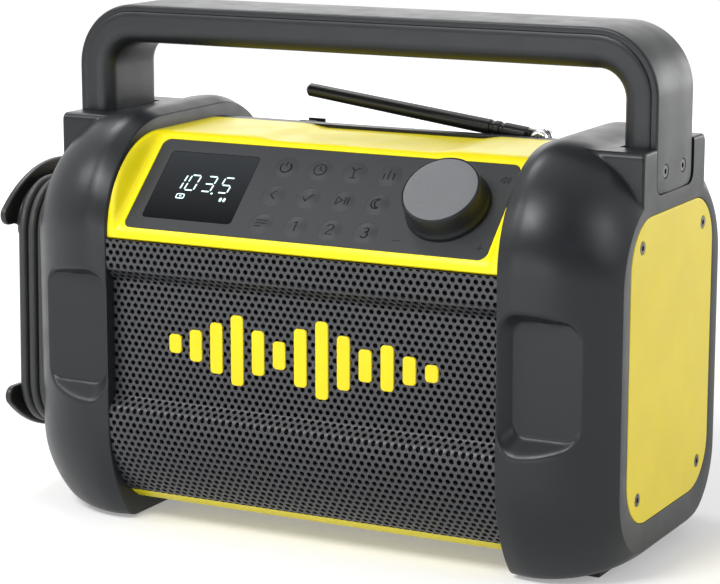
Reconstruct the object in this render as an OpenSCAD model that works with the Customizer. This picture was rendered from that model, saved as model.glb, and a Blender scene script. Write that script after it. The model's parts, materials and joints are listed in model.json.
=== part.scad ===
// Jobsite style bluetooth speaker and radio: a core between two end caps, with a carrying handle.
// Millimetres. The front is -Y, the ground is z = 0 and the origin lies under the middle of the whole box.

/* [Body] */
// Width between the flat outer faces of the two end caps
body_w = 300; // [290:1:320]
// Width of one end cap along X
cap_w = 49; // [47:0.5:50]
// Depth of an end cap from front to back
cap_depth = 162; // [160:1:168]
// Height of the end caps' ridge
cap_h = 194; // [192:0.5:198]
// Depth of the core between the caps
core_depth = 155; // [152:0.5:156]
// Height of the core's flat top
core_h = 185; // [184:0.5:188]
// Height of the core's underside
core_base = 10; // [8:0.5:12]
// Wall of the moulded shells
wall = 3; // [2.6:0.1:3.4]

/* [End caps] */
// Length along X of the rounding at a cap's outer edge
cap_round_run = 38; // [34:1:40]
// How far that rounding draws in the front and back
cap_round_front = 22; // [18:1:24]
// How far that rounding draws in the top
cap_round_top = 24; // [20:1:26]
// How far that rounding draws in the base
cap_round_base = 9; // [6:1:12]
// Corner radius of a cap's side outline at the top
cap_corner_top = 52; // [46:1:56]
// Corner radius of a cap's side outline at the base
cap_corner_base = 36; // [30:1:40]
// How far the lip at a cap's inner edge lies below the ridge
lip_fall = 5; // [3:0.5:6]
// Depth of the recess in a cap's front
notch_depth = 8.5; // [7:0.5:10]
// Height that a rubber foot stands proud of its cap
foot_proud = 1.2; // [0.8:0.1:2]

/* [Side panels] */
// Depth of a side panel along Y
side_w = 101; // [98:1:106]
// Height of a side panel
side_h = 138; // [134:1:142]
// Corner radius of a side panel
side_r = 23; // [18:1:26]
// Thickness of a side panel
side_t = 2.4; // [2:0.1:2.8]

/* [Handle] */
// Height of the handle's top
handle_top = 242.5; // [238:0.5:248]
// Depth of the handle along Y
handle_depth = 46; // [43:1:48]
// Thickness of a handle leg along X
leg_t = 17; // [15:0.5:19]
// Height of the handle's bar
bar_t = 18.5; // [16:0.5:20]
// Radius of the handle's outer corners
handle_r = 30; // [26:1:34]
// Thickness of the band on the handle's outside
band_t = 3; // [2.4:0.2:3.6]

/* [Front] */
// Height of the grille's top edge
grille_top = 139.5; // [137:0.5:141]
// Thickness of the grille's sheet metal
grille_t = 1.2; // [1:0.1:1.5]
// Depth of the grille's long recess
groove_depth = 6; // [5:0.5:6.5]
// Tilt of the control panel from level
panel_tilt = 43; // [41:0.5:45]
// Width of the control panel
panel_w = 184.6; // [182:0.2:186]
// Length of the control panel up its slope
panel_u = 53; // [52:0.2:54]
// Thickness of the control panel
panel_t = 2.2; // [2:0.1:2.4]

/* [Controls] */
// Radius of a key
key_r = 6; // [5.4:0.1:6.4]
// Distance between key columns
key_pitch_x = 17.7; // [16.6:0.1:18.4]
// Distance between key rows
key_pitch_u = 16.4; // [15.6:0.1:16.6]
// How far a key can be pressed
key_travel = 0.8; // [0.5:0.1:1]
// Radius of the volume knob's top
knob_r = 18.4; // [17:0.2:19]
// Height of the volume knob
knob_h = 12; // [10.5:0.5:13]
// Width of the display window
display_w = 47.5; // [45:0.5:48.5]
// Length of the display window up the slope
display_u = 39.5; // [37:0.5:41]

/* [Antenna] */
// Length from the tilt axis to the tip
mast_len = 125.7; // [120:0.5:128]
// Radius of the mast
mast_r = 3.7; // [3.4:0.1:3.9]
// Angle that the mast is raised from its clip
mast_angle = 7.25; // [5:0.25:9]
// Height of the tilt axis above the rear ledge
mast_lift = 4.5; // [4.3:0.1:5]

/* [Cord] */
// Diameter of the power cord
cord_d = 5; // [4.6:0.1:5.2]
// Distance between neighbouring turns
cord_pitch = 5.5; // [5.45:0.05:5.6]
// How far the cord hooks reach out from the side panel
hook_reach = 31.5; // [31:0.5:33]
// Half width of the saddles that the cord is wound on
saddle_half = 38.5; // [36:0.5:40]

/* [Speakers] */
// Radius of a driver's mounting flange
driver_r = 37; // [35:0.5:39]
// How far a cone moves each way
cone_travel = 1.5; // [1:0.1:2]

/* [Hidden] */
$fn = 64;
slip = 0.15;
charcoal = [0.2, 0.21, 0.22];
black = [0.08, 0.08, 0.085];
yellow = [0.93, 0.88, 0.16];
panel_grey = [0.3, 0.3, 0.32];
steel = [0.72, 0.72, 0.74];
board_green = [0.1, 0.3, 0.16];

// the frame: the hooks reach past the left cap, so the middle of the box is left of the body's middle
frame_shift = hook_reach / 2;
core_w = body_w - 2 * cap_w;
core_x = core_w / 2;
side_x = body_w / 2;
core_front = -core_depth / 2;
core_rear = core_depth / 2;
core_top_r = 45;
core_foot_r = 50;
core_foot_z = 53;
core_rear_r = 40;
split_y = 20;

// end caps
cap_base = foot_proud;
base_corner_draw = 4;
top_corner_draw = 14;
cap_wall = 3;
cavity_end = side_x - 10;
cavity_half = cap_depth / 2 - 23;
cavity_low = 16;
cavity_high = 150;
boss_half = 38;
boss_top = cap_h - 3.3;
foot_x = side_x - 28;
foot_y = 34;
foot_w = 26;
foot_d = 18;
foot_sunk = 2;
notch_low = 61;
notch_high = 124.5;
notch_in = core_x + 3.7;
notch_out = side_x - 18;
cap_screw_zs = [50, 130];
front_cap_screws = [for (z = cap_screw_zs) [13 - cavity_half, z]];
rear_cap_screws = [for (z = cap_screw_zs) [cavity_half - 6, z]];
cap_screw_spots = concat(front_cap_screws, rear_cap_screws);
wire_spot = [10, 90];

// side panels
side_z = 93;
side_screw_y = side_w / 2 - 13;
side_screw_z = side_h / 2 - 12.5;
side_screws = [for (y = [-1, 1], z = [-1, 1]) [y * side_screw_y, side_z + z * side_screw_z]];
side_recess = side_t + slip;
access_half = 28;
access_low = 46;
access_high = 140;

// handle
leg_low = 170;
handle_half = handle_depth / 2;
band_half = handle_half - 0.8;
handle_x = side_x - 0.5;
leg_in = handle_x - leg_t;
handle_screw_z = leg_low + 9.5;
handle_screw_y = 10.7;

// front: the grille's profile runs down from its top edge, and u and w are up the panel's slope and out of it
grille_low = 14;
groove_high = 126;
groove_low = 58;
cloth_t = 0.6;
shell_lip = 4;
panel_foot_y = core_front + 2;
panel_foot_z = grille_top + 6;
panel_bed = 5;
recess_half = panel_w / 2 + 0.7;
recess_high = core_h - panel_foot_z - 13;
recess_draft = recess_high * 0.4786;
reach_below = 60;
reach_above = 90;
window_margin_x = 3.5;
window_margin_u = 1.5;
panel_corner = 4;
grille_half = core_x - slip;
badge_t = 1.8;
badge_bar = 6.6;
badge_pitch = 11;
badge_r = 2;
badge_z = 92;
badge_bars = [9, 15, 24, 33, 21, 13, 27, 36, 25, 15, 21, 13, 8];

// controls
key_x0 = -22;
key_u0 = 8.5;
key_clear = 0.25;
key_lip = 0.6;
key_lip_t = 1.1;
key_gap = 0.1;
key_dome = 0.7;
mat_top = -panel_t - key_gap - key_lip_t - key_travel - 0.3;
mat_t = 1;
mat_margin = 4.4;
mat_rib = 1.5;
switch_t = 0.9;
board_t = 1.6;
keys_w = 3 * key_pitch_x + 2 * key_r;
keys_mid_x = key_x0 + 1.5 * key_pitch_x;
keys_u = 2 * key_pitch_u + 2 * key_r;
keys_mid_u = key_u0 + key_pitch_u;
board_top = mat_top - mat_t - switch_t;
mat_w = keys_w + 2 * mat_margin;
mat_u = keys_u + 0.8;
display_x = -61.2;
display_mid_u = 26.3;
display_t = 2;
knob_x = 65.4;
knob_u = 27;
knob_lift = 0.6;
knob_foot_r = knob_r + 1.4;
knob_face_r = knob_r - 1;
shaft_r = 3;
shaft_clear = 0.05;
bush_r = 3.5;
shaft_top = knob_lift + knob_h - 3.2;

// antenna
mast_y = 32.3;
ledge_y = mast_y - mast_r - 1.8;
ledge_z = core_h - 5.5;
mast_x = 71.5;
mast_z = ledge_z + mast_lift;
socket_r = 7;
stem_r = 5.5;
fork_half = 5;
tongue_half = 2;
fork_gap = 0.2;
eye_r = 3.6;
pin_r = 1.5;
pin_clear = 0.05;
mast_start = 7;
clip_x = mast_x - mast_len + 3.5;
clip_l = 9;

// cord: each turn is a rounded rectangle around the two saddles, and x moves out by one pitch per turn
hook_x = -side_x;
flange_t = 3.5;
hook_plate_t = 3;
saddle_wall = 3;
saddle_r = 20;
upper_saddle_low = 127;
upper_saddle_high = 151;
lower_saddle_low = 36;
lower_saddle_high = 60;
upper_flange_z = 134;
lower_flange_z = 53;
flange_rise = 28;
hook_screw_y = 18;
upper_hook_screw_z = 135;
lower_hook_screw_z = 52;
hook_screw_spots = [
  for (y = [-hook_screw_y, hook_screw_y], z = [upper_hook_screw_z, lower_hook_screw_z]) [y, z]
];
flange_half = saddle_half + 9.5;
cord_r = cord_d / 2;
cord_sides = 6;
cord_turns = 4;
rings_per_turn = 24;
cord_half = saddle_half + cord_r + 0.3;
cord_low = lower_saddle_low - cord_r - 0.3;
cord_high = upper_saddle_high + cord_r + 0.3;
cord_corner = saddle_r + cord_r + 0.3;
cord_x = hook_x - cord_r - 0.6;
cord_out_x = cord_x - cord_turns * cord_pitch;
relief_top = 84;
relief_len = 22;
relief_half = 4.5;
tail_r = cord_half / 2;
tail_z = 101;
tail_rings = 14;
plug_x = hook_x - 8.5;
plug_low = lower_saddle_high + 0.1;
plug_h = 24;
plug_half = 17;
plug_t = 14;
plug_neck = 10;
prong_r = 2;
prong_y = 9.5;
prong_len = 19;

// speakers
driver_x = 49;
driver_z = 82;
baffle_y = core_front + groove_depth + grille_t + cloth_t + 4.2 + cone_travel;
baffle_t = 4;
baffle_low = driver_z - 46;
baffle_high = driver_z + 52;
flange_depth = 2.4;
basket_r = driver_r - 6;
magnet_r = 24;
driver_depth = 40;
basket_depth = 20;
basket_floor = 2;
coil_r = 12.5;
cone_gap = 0.4;

// power and boards
supply_size = [70, 37, 34];
supply_corner = [15, -20];
tray_x = -25;
tray_half = 55;
tray_low = 56;
tray_high = 116;
tray_front = 27;
tray_wall = 2;
door_t = 2.5;
door_frame = 6;
door_ledge = 7;
tray_inset = door_ledge - tray_wall;
door_z = (tray_low + tray_high) / 2;
board_post_xs = [tray_x - tray_half + 11, tray_x + tray_half - 11];
board_post_zs = [tray_low + 11, tray_high - 11];
door_screw_xs = [tray_x - tray_half + 3.5, tray_x + tray_half - 3.5];
bay_x = 64;
bay_half = 18;
bay_r = 0.5;
bay_low = 74;
bay_high = 100;
bay_z = (bay_low + bay_high) / 2;
bay_floor = core_rear - 12;
socket_board_y = bay_floor - wall - 5;
socket_proud = 0.4;
usb_x = bay_x - 6;
aux_x = bay_x + 9;
aux_r = 4;
aux_bore_r = 1.8;
aux_depth = 15;
flap_t = 2.6;
flap_gap = 0.4;
flap_pin_r = 1;
flap_pin_grip = 2.5;
flap_barrel_r = 1.9;
flap_axis_x = bay_x - bay_half + 2.2;
flap_axis_y = core_rear - flap_barrel_r;
case_screw_x = core_x - wall - 4.5;
case_screw_zs = [36, 150];
case_post_r = 4.6;
case_joint_y = 58;

// cord lengths: a turn's straight runs and quarter circles, measured from the foot of the rear run
run_z = cord_high - cord_low - 2 * cord_corner;
run_y = 2 * cord_half - 2 * cord_corner;
quarter = cord_corner * PI / 2;
turn_len = 2 * run_z + 2 * run_y + 4 * quarter;
start_run = relief_top - cord_low - cord_corner;
corner_steps = rings_per_turn / 4 - 1;
corner_spots = [
  [cord_half - cord_corner, cord_high - cord_corner], [cord_corner - cord_half, cord_high - cord_corner],
  [cord_corner - cord_half, cord_low + cord_corner], [cord_half - cord_corner, cord_low + cord_corner]
];
corner_starts = [
  run_z, run_z + quarter + run_y, 2 * run_z + 2 * quarter + run_y, 2 * run_z + 3 * quarter + 2 * run_y
];

// small helpers
module in_frame() {
  translate([frame_shift, 0, 0]) children();
}

// a flat outline in (y, z), made solid from x0 to x1
module along_x(x0, x1) {
  translate([x0, 0, 0]) rotate([90, 0, 90]) linear_extrude(height = x1 - x0) children();
}

// a flat outline in (x, z), made solid from y0 to y1
module along_y(y0, y1) {
  translate([0, y1, 0]) rotate([90, 0, 0]) linear_extrude(height = y1 - y0) children();
}

// a round bar or hole along X at a (y, z) spot, and one along Y at an (x, z) spot
module along_x_pin(x0, x1, spot, r) {
  translate([x0, spot.x, spot.y]) rotate([0, 90, 0]) cylinder(r = r, h = x1 - x0, $fn = 32);
}

module along_y_pin(y0, y1, spot, r) {
  translate([spot.x, y0, spot.y]) rotate([-90, 0, 0]) cylinder(r = r, h = y1 - y0, $fn = 32);
}

module both_sides() {
  children();
  mirror([1, 0, 0]) children();
}

module on_panel() {
  translate([0, panel_foot_y, panel_foot_z]) rotate([panel_tilt, 0, 0]) children();
}

// a rectangle between two corners whose low and high corners have their own radii, in exact arcs
module rounded(low, high, r_low, r_high) {
  difference() {
    translate(low) square(high - low);
    if (r_low > 0) {
      corner_cut([low.x + r_low, low.y + r_low], r_low, -1, -1);
      corner_cut([high.x - r_low, low.y + r_low], r_low, 1, -1);
    }
    if (r_high > 0) {
      corner_cut([low.x + r_high, high.y - r_high], r_high, -1, 1);
      corner_cut([high.x - r_high, high.y - r_high], r_high, 1, 1);
    }
  }
}

// what a rounded corner takes away, outside an arc about c
module corner_cut(c, r, sx, sy) {
  reach = r + 1;
  translate(c) difference() {
    translate([sx < 0 ? -reach : 0, sy < 0 ? -reach : 0]) square(reach);
    circle(r);
  }
}

function arc_points(c, r, a0, a1, n) =
  [for (i = [0:n]) let (a = a0 + (a1 - a0) * i / n) [c.x + r * cos(a), c.y + r * sin(a)]];

function panel_point(u, w) = [
  panel_foot_y + u * cos(panel_tilt) - w * sin(panel_tilt),
  panel_foot_z + u * sin(panel_tilt) + w * cos(panel_tilt)
];

// a screw with its head's face at z = 0 and its point towards -Z, and the same along X and Y
module screw(length, head_r, head_t, shank_r) {
  mirror([0, 0, 1]) difference() {
    union() {
      cylinder(r = head_r, h = head_t, $fn = 32);
      cylinder(r = shank_r, h = length, $fn = 24);
    }
    translate([0, 0, -1]) cylinder(r = head_r * 0.5, h = 1 + head_t * 0.6, $fn = 6);
  }
}

module screw_x(length, head_r, head_t, shank_r) {
  rotate([0, 90, 0]) screw(length, head_r, head_t, shank_r);
}

module screw_y(length, head_r, head_t, shank_r) {
  rotate([-90, 0, 0]) screw(length, head_r, head_t, shank_r);
}

// End caps
function cap_ring(fall, k) =
  let (
    half = cap_depth / 2 - 0.6 * fall - cap_round_front * k,
    high = cap_h - fall - cap_round_top * k,
    low = cap_base + cap_round_base * k,
    rt = cap_corner_top - top_corner_draw * k,
    rb = cap_corner_base - base_corner_draw * k
  )
  concat(
    arc_points([half - rb, low + rb], rb, -90, 0, 8),
    arc_points([half - rt, high - rt], rt, 0, 90, 10),
    arc_points([rt - half, high - rt], rt, 90, 180, 10),
    arc_points([rb - half, low + rb], rb, 180, 270, 8)
  );

module cap_slice(x, fall, k) {
  along_x(x, x + 0.02) polygon(cap_ring(fall, k));
}

module cap_pillow() {
  round_start = side_x - cap_round_run;
  hull() {
    cap_slice(core_x, lip_fall, 0);
    cap_slice(core_x + 2, lip_fall * 0.5, 0);
    cap_slice(core_x + 5, lip_fall * 0.14, 0);
    cap_slice(core_x + 9, 0, 0);
    for (t = [0:15:90]) cap_slice(round_start + cap_round_run * sin(t) - 0.02, 0, 1 - cos(t));
  }
}

module cap_boss() {
  along_x(core_x + 8, side_x) polygon([
    [-boss_half - 1, boss_top - 45], [-boss_half, boss_top - 3], [3 - boss_half, boss_top],
    [boss_half - 3, boss_top], [boss_half, boss_top - 3], [boss_half + 1, boss_top - 45]
  ]);
}

// the recess in a cap's front narrows towards its floor, and its inner wall runs out at the lip
module cap_notch() {
  mouth = -cap_depth / 2 - 1;
  floor_y = -cap_depth / 2 + notch_depth;
  bevel = notch_depth * 0.8;
  hull() {
    along_y(mouth, mouth + 0.1)
      rounded([notch_in - 6.4, notch_low - 0.8], [notch_out + 0.6, notch_high + 0.8], 9, 9);
    along_y(floor_y - 0.1, floor_y)
      rounded([notch_in, notch_low + bevel], [notch_out - 4, notch_high - bevel], 5, 5);
  }
}

module end_cap() {
  difference() {
    union() {
      cap_pillow();
      cap_boss();
    }
    cap_notch();
    along_x(core_x + cap_wall, cavity_end)
      rounded([-cavity_half, cavity_low], [cavity_half, cavity_high], 20, 20);
    along_x(cavity_end - 1, side_x + 1)
      rounded([-access_half, access_low], [access_half, access_high], 12, 12);
    along_x(side_x - side_recess, side_x + 1) side_outline(slip);
    along_x(leg_in - slip, side_x + 1)
      rounded([-handle_half - slip, leg_low - slip], [handle_half + slip, cap_h + 20], 6 + slip, 0);
    for (s = side_screws) along_x_pin(cavity_end - 1, side_x - 1, s, 1.55);
    for (y = [-handle_screw_y, handle_screw_y])
      along_x_pin(leg_in - 14, leg_in + 1, [y, handle_screw_z], 1.55);
    for (s = cap_screw_spots) along_x_pin(core_x - 1, core_x + cap_wall + 1, s, 1.7);
    for (y = [-foot_y, foot_y])
      translate([foot_x - foot_w / 2 - slip, y - foot_d / 2 - slip, -1])
        cube([foot_w + 2 * slip, foot_d + 2 * slip, cap_base + foot_sunk + 1]);
    along_x_pin(core_x - 1, core_x + cap_wall + 1, wire_spot, 8);
  }
}

module left_end_cap() {
  color(charcoal) in_frame() mirror([1, 0, 0]) end_cap();
}

module right_end_cap() {
  color(charcoal) in_frame() end_cap();
}

module feet() {
  color(black) in_frame() for (x = [-foot_x, foot_x], y = [-foot_y, foot_y])
    translate([x - foot_w / 2, y - foot_d / 2, 0]) cube([foot_w, foot_d, foot_proud + foot_sunk - 0.05]);
}

// the screws inside the caps, which hold the caps to the core and the cord hooks to their panel
module inner_screws() {
  color(steel) in_frame() {
    both_sides() for (s = cap_screw_spots)
      translate([core_x + cap_wall + 2, s.x, s.y]) screw_x(12, 2.8, 2, 1.5);
    for (s = hook_screw_spots)
      translate([hook_x + side_t + 2, s.x, s.y]) screw_x(12, 2.8, 2, 1.5);
  }
}

// Side panels
module side_outline(grow) {
  rounded(
    [-side_w / 2 - grow, side_z - side_h / 2 - grow],
    [side_w / 2 + grow, side_z + side_h / 2 + grow], side_r, side_r
  );
}

module side_panel() {
  difference() {
    along_x(side_x - side_t, side_x) side_outline(0);
    for (s = side_screws) {
      along_x_pin(side_x - 1.2, side_x + 1, s, 3);
      along_x_pin(side_x - side_t - 1, side_x, s, 1.7);
    }
  }
}

module left_side_panel() {
  color(yellow) in_frame() difference() {
    mirror([1, 0, 0]) side_panel();
    for (s = hook_screw_spots) along_x_pin(hook_x - 1, hook_x + side_t + 1, s, 1.7);
  }
}

module right_side_panel() {
  color(yellow) in_frame() side_panel();
}

module side_panel_screws() {
  color(black) in_frame() both_sides() for (s = side_screws)
    translate([side_x - 0.1, s.x, s.y]) screw_x(9, 2.8, 1.1, 1.5);
}

// Handle
module handle_arch(inset) {
  difference() {
    rounded([inset - handle_x, leg_low], [handle_x - inset, handle_top - inset], 0, handle_r - inset);
    children();
  }
}

module leg_ends(half) {
  along_x(-side_x - 1, side_x + 1) rounded([-half, leg_low], [half, handle_top + 20], 6, 0);
}

module handle_screw_holes(r) {
  both_sides() for (y = [-handle_screw_y, handle_screw_y])
    along_x_pin(leg_in - 1, handle_x + 1, [y, handle_screw_z], r);
}

module handle_frame() {
  color(charcoal) in_frame() difference() {
    intersection() {
      along_y(-handle_half, handle_half) handle_arch(band_t)
        rounded([-leg_in, leg_low - 1], [leg_in, handle_top - bar_t], 0, handle_r - leg_t);
      leg_ends(handle_half);
    }
    handle_screw_holes(1.7);
  }
}

module handle_band() {
  inner = band_t - 0.05;
  color(charcoal) in_frame() difference() {
    intersection() {
      along_y(-band_half, band_half) handle_arch(0)
        rounded([inner - handle_x, leg_low - 1], [handle_x - inner, handle_top - inner], 0, handle_r - inner);
      leg_ends(band_half);
    }
    handle_screw_holes(1.7);
    both_sides() for (y = [-handle_screw_y, handle_screw_y])
      along_x_pin(handle_x - 1.6, handle_x + 1, [y, handle_screw_z], 3.1);
  }
}

module handle_screws() {
  color(steel) in_frame() both_sides() for (y = [-handle_screw_y, handle_screw_y])
    translate([handle_x - 0.2, y, handle_screw_z]) screw_x(leg_t + 12, 2.8, 1.4, 1.5);
}

// Core shells
module core_outline(inset) {
  difference() {
    translate([core_front + inset, core_base + inset])
      square([core_depth - 2 * inset, core_h - core_base - 2 * inset]);
    corner_cut([core_front + core_top_r, core_h - core_top_r], core_top_r - inset, -1, 1);
    corner_cut([core_rear - core_top_r, core_h - core_top_r], core_top_r - inset, 1, 1);
    corner_cut([core_front + core_foot_r, core_foot_z], core_foot_r - inset, -1, -1);
    corner_cut([core_rear - core_rear_r, core_base + core_rear_r], core_rear_r - inset, 1, -1);
  }
}

module core_wall_outline() {
  difference() {
    core_outline(0);
    core_outline(wall);
  }
}

// the grille's outer face, or a face further in, as points from its top edge down to its lower edge
function grille_face(depth) =
  let (
    y = core_front + depth,
    r = core_foot_r - depth,
    low_angle = 180 + asin((core_foot_z - grille_low) / r)
  )
  concat(
    [
      [y, grille_top],
      [y, groove_high],
      [y + groove_depth, groove_high - groove_depth],
      [y + groove_depth, groove_low + groove_depth],
      [y, groove_low]
    ],
    arc_points([core_front + core_foot_r, core_foot_z], r, 180, low_angle, 14)
  );

function backwards(list) = [for (i = [len(list) - 1:-1:0]) list[i]];

module grille_sheet(depth, t) {
  polygon(concat(grille_face(depth), backwards(grille_face(depth + t))));
}

// what the front shell leaves free for the grille and for the sound behind it
module grille_zone() {
  back = grille_t + cloth_t + slip;
  polygon(concat(
    [[core_front - 9, grille_top + slip], [core_front + back, grille_top + slip]],
    [[core_front + back, grille_top - shell_lip]],
    [[core_front + groove_depth + back, grille_top - shell_lip]],
    [[core_front + groove_depth + back, 40], [core_front + 26, grille_low + shell_lip]],
    [[core_front + 23.5, grille_low - slip], [core_front - 9, grille_low - slip]]
  ));
}

module front_zone() {
  translate([core_front - 1, 0]) square([split_y - core_front + 1, core_h + 1]);
}

module above_bed() {
  polygon([
    panel_point(-reach_below, -panel_bed), panel_point(reach_above, -panel_bed),
    panel_point(reach_above, 2 * recess_high), panel_point(-reach_below, 2 * recess_high)
  ]);
}

module panel_slab(x_half, u0, u1, w0, w1, r) {
  on_panel() translate([0, 0, w0]) linear_extrude(height = w1 - w0)
    rounded([-x_half, u0], [x_half, u1], r, r);
}

// the open space in front of the control panel, with leaning end walls
module panel_recess() {
  run = reach_below + reach_above;
  on_panel() hull() {
    translate([-recess_half, -reach_below, 0]) cube([2 * recess_half, run, 0.1]);
    translate([-recess_half - recess_draft, -reach_below, recess_high])
      cube([2 * recess_half + 2 * recess_draft, run, 0.1]);
  }
}

module front_shell() {
  end_block = core_x - 11;
  color(yellow) in_frame() difference() {
    union() {
      along_x(-core_x, core_x) intersection() {
        core_wall_outline();
        front_zone();
      }
      both_sides() along_x(core_x - wall, core_x) intersection() {
        core_outline(0);
        front_zone();
      }
      both_sides() along_x(end_block, core_x) intersection() {
        core_outline(0);
        above_bed();
        front_zone();
      }
      along_x(-core_x, core_x) intersection() {
        core_outline(0);
        above_bed();
        polygon([
          panel_point(-60, 0.5), panel_point(90, 0.5),
          panel_point(90, -panel_bed), panel_point(-60, -panel_bed)
        ]);
      }
      both_sides() for (s = front_cap_screws) along_x_pin(core_x - 10, core_x - 1, s, 4);
      for (x = [-case_screw_x, case_screw_x], z = case_screw_zs)
        along_y_pin(split_y - 12, case_joint_y - slip, [x, z], case_post_r - slip);
      both_sides() for (z = case_screw_zs) translate([case_screw_x, split_y - 12, z - 4]) cube([5.5, 12, 8]);
    }
    along_x(-core_x - 1, core_x + 1) grille_zone();
    panel_recess();
    panel_slab(
      panel_w / 2 - window_margin_x, window_margin_u, panel_u - window_margin_u, -panel_bed - 5, 1, 3
    );
    panel_slab(panel_w / 2 + slip, -slip, panel_u + slip, -panel_t - 0.05, 1, panel_corner);
    along_y(-20, split_y + 1) crest_dip();
    both_sides() for (s = front_cap_screws) along_x_pin(core_x - 9, core_x + 1, s, 1.55);
    for (x = [-case_screw_x, case_screw_x], z = case_screw_zs)
      along_y_pin(case_joint_y - 25, case_joint_y + 1, [x, z], 1.55);
    wire_hole();
  }
}

// a shallow dip behind the panel, where fingers reach the antenna
module crest_dip() {
  dip_half = 40;
  dip = 1.6;
  polygon([
    [5 - dip_half, core_h + 1], [5 - dip_half, core_h], [17 - dip_half, core_h - dip],
    [dip_half - 7, core_h - dip], [dip_half + 5, core_h], [dip_half + 5, core_h + 1]
  ]);
}

// the rear half, cut down to a ledge where the antenna lies
module rear_zone() {
  difference() {
    translate([split_y + slip, 0]) square([core_rear - split_y + 1, core_h + 1]);
    translate([ledge_y, ledge_z]) square([core_rear, core_h]);
  }
}

module rear_inside() {
  difference() {
    intersection() {
      core_outline(wall);
      translate([split_y - 1, 0]) square([core_rear, core_h]);
    }
    translate([ledge_y - wall, ledge_z - wall]) square([core_rear, core_h]);
  }
}

module door_outline(grow) {
  rounded(
    [tray_x - tray_half - grow, tray_low - grow], [tray_x + tray_half + grow, tray_high + grow], 6, 6
  );
}

module bay_outline(grow) {
  rounded(
    [bay_x - bay_half - grow, bay_low - grow], [bay_x + bay_half + grow, bay_high + grow], bay_r, bay_r
  );
}

module rear_shell() {
  color(charcoal) in_frame() difference() {
    union() {
      along_x(-core_x, core_x) difference() {
        intersection() {
          core_outline(0);
          rear_zone();
        }
        rear_inside();
      }
      both_sides() along_x(core_x - wall, core_x) intersection() {
        core_outline(0);
        rear_zone();
      }
      both_sides() for (s = rear_cap_screws) along_x_pin(core_x - 10, core_x - 1, s, 4);
      for (x = [-case_screw_x, case_screw_x], z = case_screw_zs)
        along_y_pin(case_joint_y, core_rear - 1 - foot_round(z), [x, z], case_post_r);
      translate([mast_x, mast_y, ledge_z - 11]) cylinder(r = socket_r + 3, h = 10);
      along_y(core_rear - door_frame, core_rear - 1) door_outline(2);
      along_y(tray_front, core_rear - 1) door_outline(-tray_inset);
      for (x = board_post_xs, z = board_post_zs) along_y_pin(tray_front - 4, tray_front + 0.5, [x, z], 3);
      along_y(bay_floor - wall, core_rear - 1) bay_outline(wall);
    }
    translate([mast_x, mast_y, ledge_z - 13]) cylinder(r = socket_r + slip, h = 30);
    both_sides() for (s = rear_cap_screws) along_x_pin(core_x - 9, core_x + 1, s, 1.55);
    for (x = [-case_screw_x, case_screw_x], z = case_screw_zs) {
      along_y_pin(case_joint_y - 1, core_rear + 1, [x, z], 1.7);
      along_y_pin(case_joint_y + 5, core_rear + 1, [x, z], 3.1);
    }
    along_y(core_rear - door_t - 0.1, core_rear + 1) door_outline(slip);
    along_y(tray_front + tray_wall, core_rear + 1) door_outline(-door_ledge);
    for (x = door_screw_xs) along_y_pin(core_rear - door_frame - 1, core_rear, [x, door_z], 1.55);
    along_y(bay_floor, core_rear + 1) bay_outline(0);
    along_y(bay_floor - wall - 1, bay_floor + 1) usb_outline(slip);
    along_y_pin(bay_floor - wall - 1, bay_floor + 1, [aux_x, bay_z], aux_r + slip);
    flap_pin_at(bay_low - flap_pin_grip - slip, bay_high + flap_pin_grip + slip, flap_pin_r + 0.02);
  }
}

// the lower case posts stop short of the rear corner's rounding
function foot_round(z) = z < core_base + core_rear_r ? 6 : 0;

module wire_hole() {
  both_sides() along_x_pin(core_x - 5, core_x + cap_wall + 1, wire_spot, 8);
}

module rear_screws() {
  color(steel) in_frame() {
    for (x = [-case_screw_x, case_screw_x], z = case_screw_zs)
      translate([x, case_joint_y + 6.9, z]) screw_y(26, 2.8, 1.8, 1.5);
    for (x = door_screw_xs)
      translate([x, core_rear - 0.1, door_z]) screw_y(door_frame + 1, 2.7, 1.2, 1.5);
  }
}

// Grille and badge
module grille() {
  color(charcoal) in_frame() along_x(-grille_half, grille_half) grille_sheet(0, grille_t);
}

module grille_cloth() {
  color(black) in_frame() along_x(-grille_half, grille_half) grille_sheet(grille_t, cloth_t);
}

module grille_badge() {
  face = core_front + groove_depth;
  color(yellow) in_frame() along_y(face - badge_t, face) for (i = [0:len(badge_bars) - 1]) {
    x = (i - (len(badge_bars) - 1) / 2) * badge_pitch;
    half = badge_bars[i] / 2;
    rounded([x - badge_bar / 2, badge_z - half], [x + badge_bar / 2, badge_z + half], badge_r, badge_r);
  }
}

// Control panel
module panel_disc(x, u, w0, w1, r) {
  on_panel() translate([x, u, w0]) cylinder(r = r, h = w1 - w0);
}

module panel_box(x, u, w0, w1, size_x, size_u, r) {
  on_panel() translate([x, u, w0]) linear_extrude(height = w1 - w0)
    rounded([-size_x / 2, -size_u / 2], [size_x / 2, size_u / 2], r, r);
}

module at_key(col, row) {
  translate([key_x0 + col * key_pitch_x, key_u0 + row * key_pitch_u, 0]) children();
}

module at_keys() {
  for (col = [0:3], row = [0:2]) at_key(col, row) children();
}

module control_panel() {
  color(panel_grey) in_frame() difference() {
    panel_slab(panel_w / 2, 0, panel_u, -panel_t, 0, panel_corner);
    on_panel() at_keys() translate([0, 0, -panel_t - 1]) cylinder(r = key_r + key_clear, h = panel_t + 2);
    panel_box(display_x, display_mid_u, -panel_t - 1, 1, display_w + 2 * slip, display_u + 2 * slip, 2);
    panel_disc(knob_x, knob_u, -panel_t - 1, 1, bush_r + slip);
  }
}

module display_window() {
  color(black) in_frame() panel_box(display_x, display_mid_u, -display_t, 0, display_w, display_u, 2);
}

module display_module() {
  color(steel) in_frame()
    panel_box(display_x, display_mid_u, -display_t - 5.1, -display_t - 0.1, display_w - 3, display_u - 3, 1);
}

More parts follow.
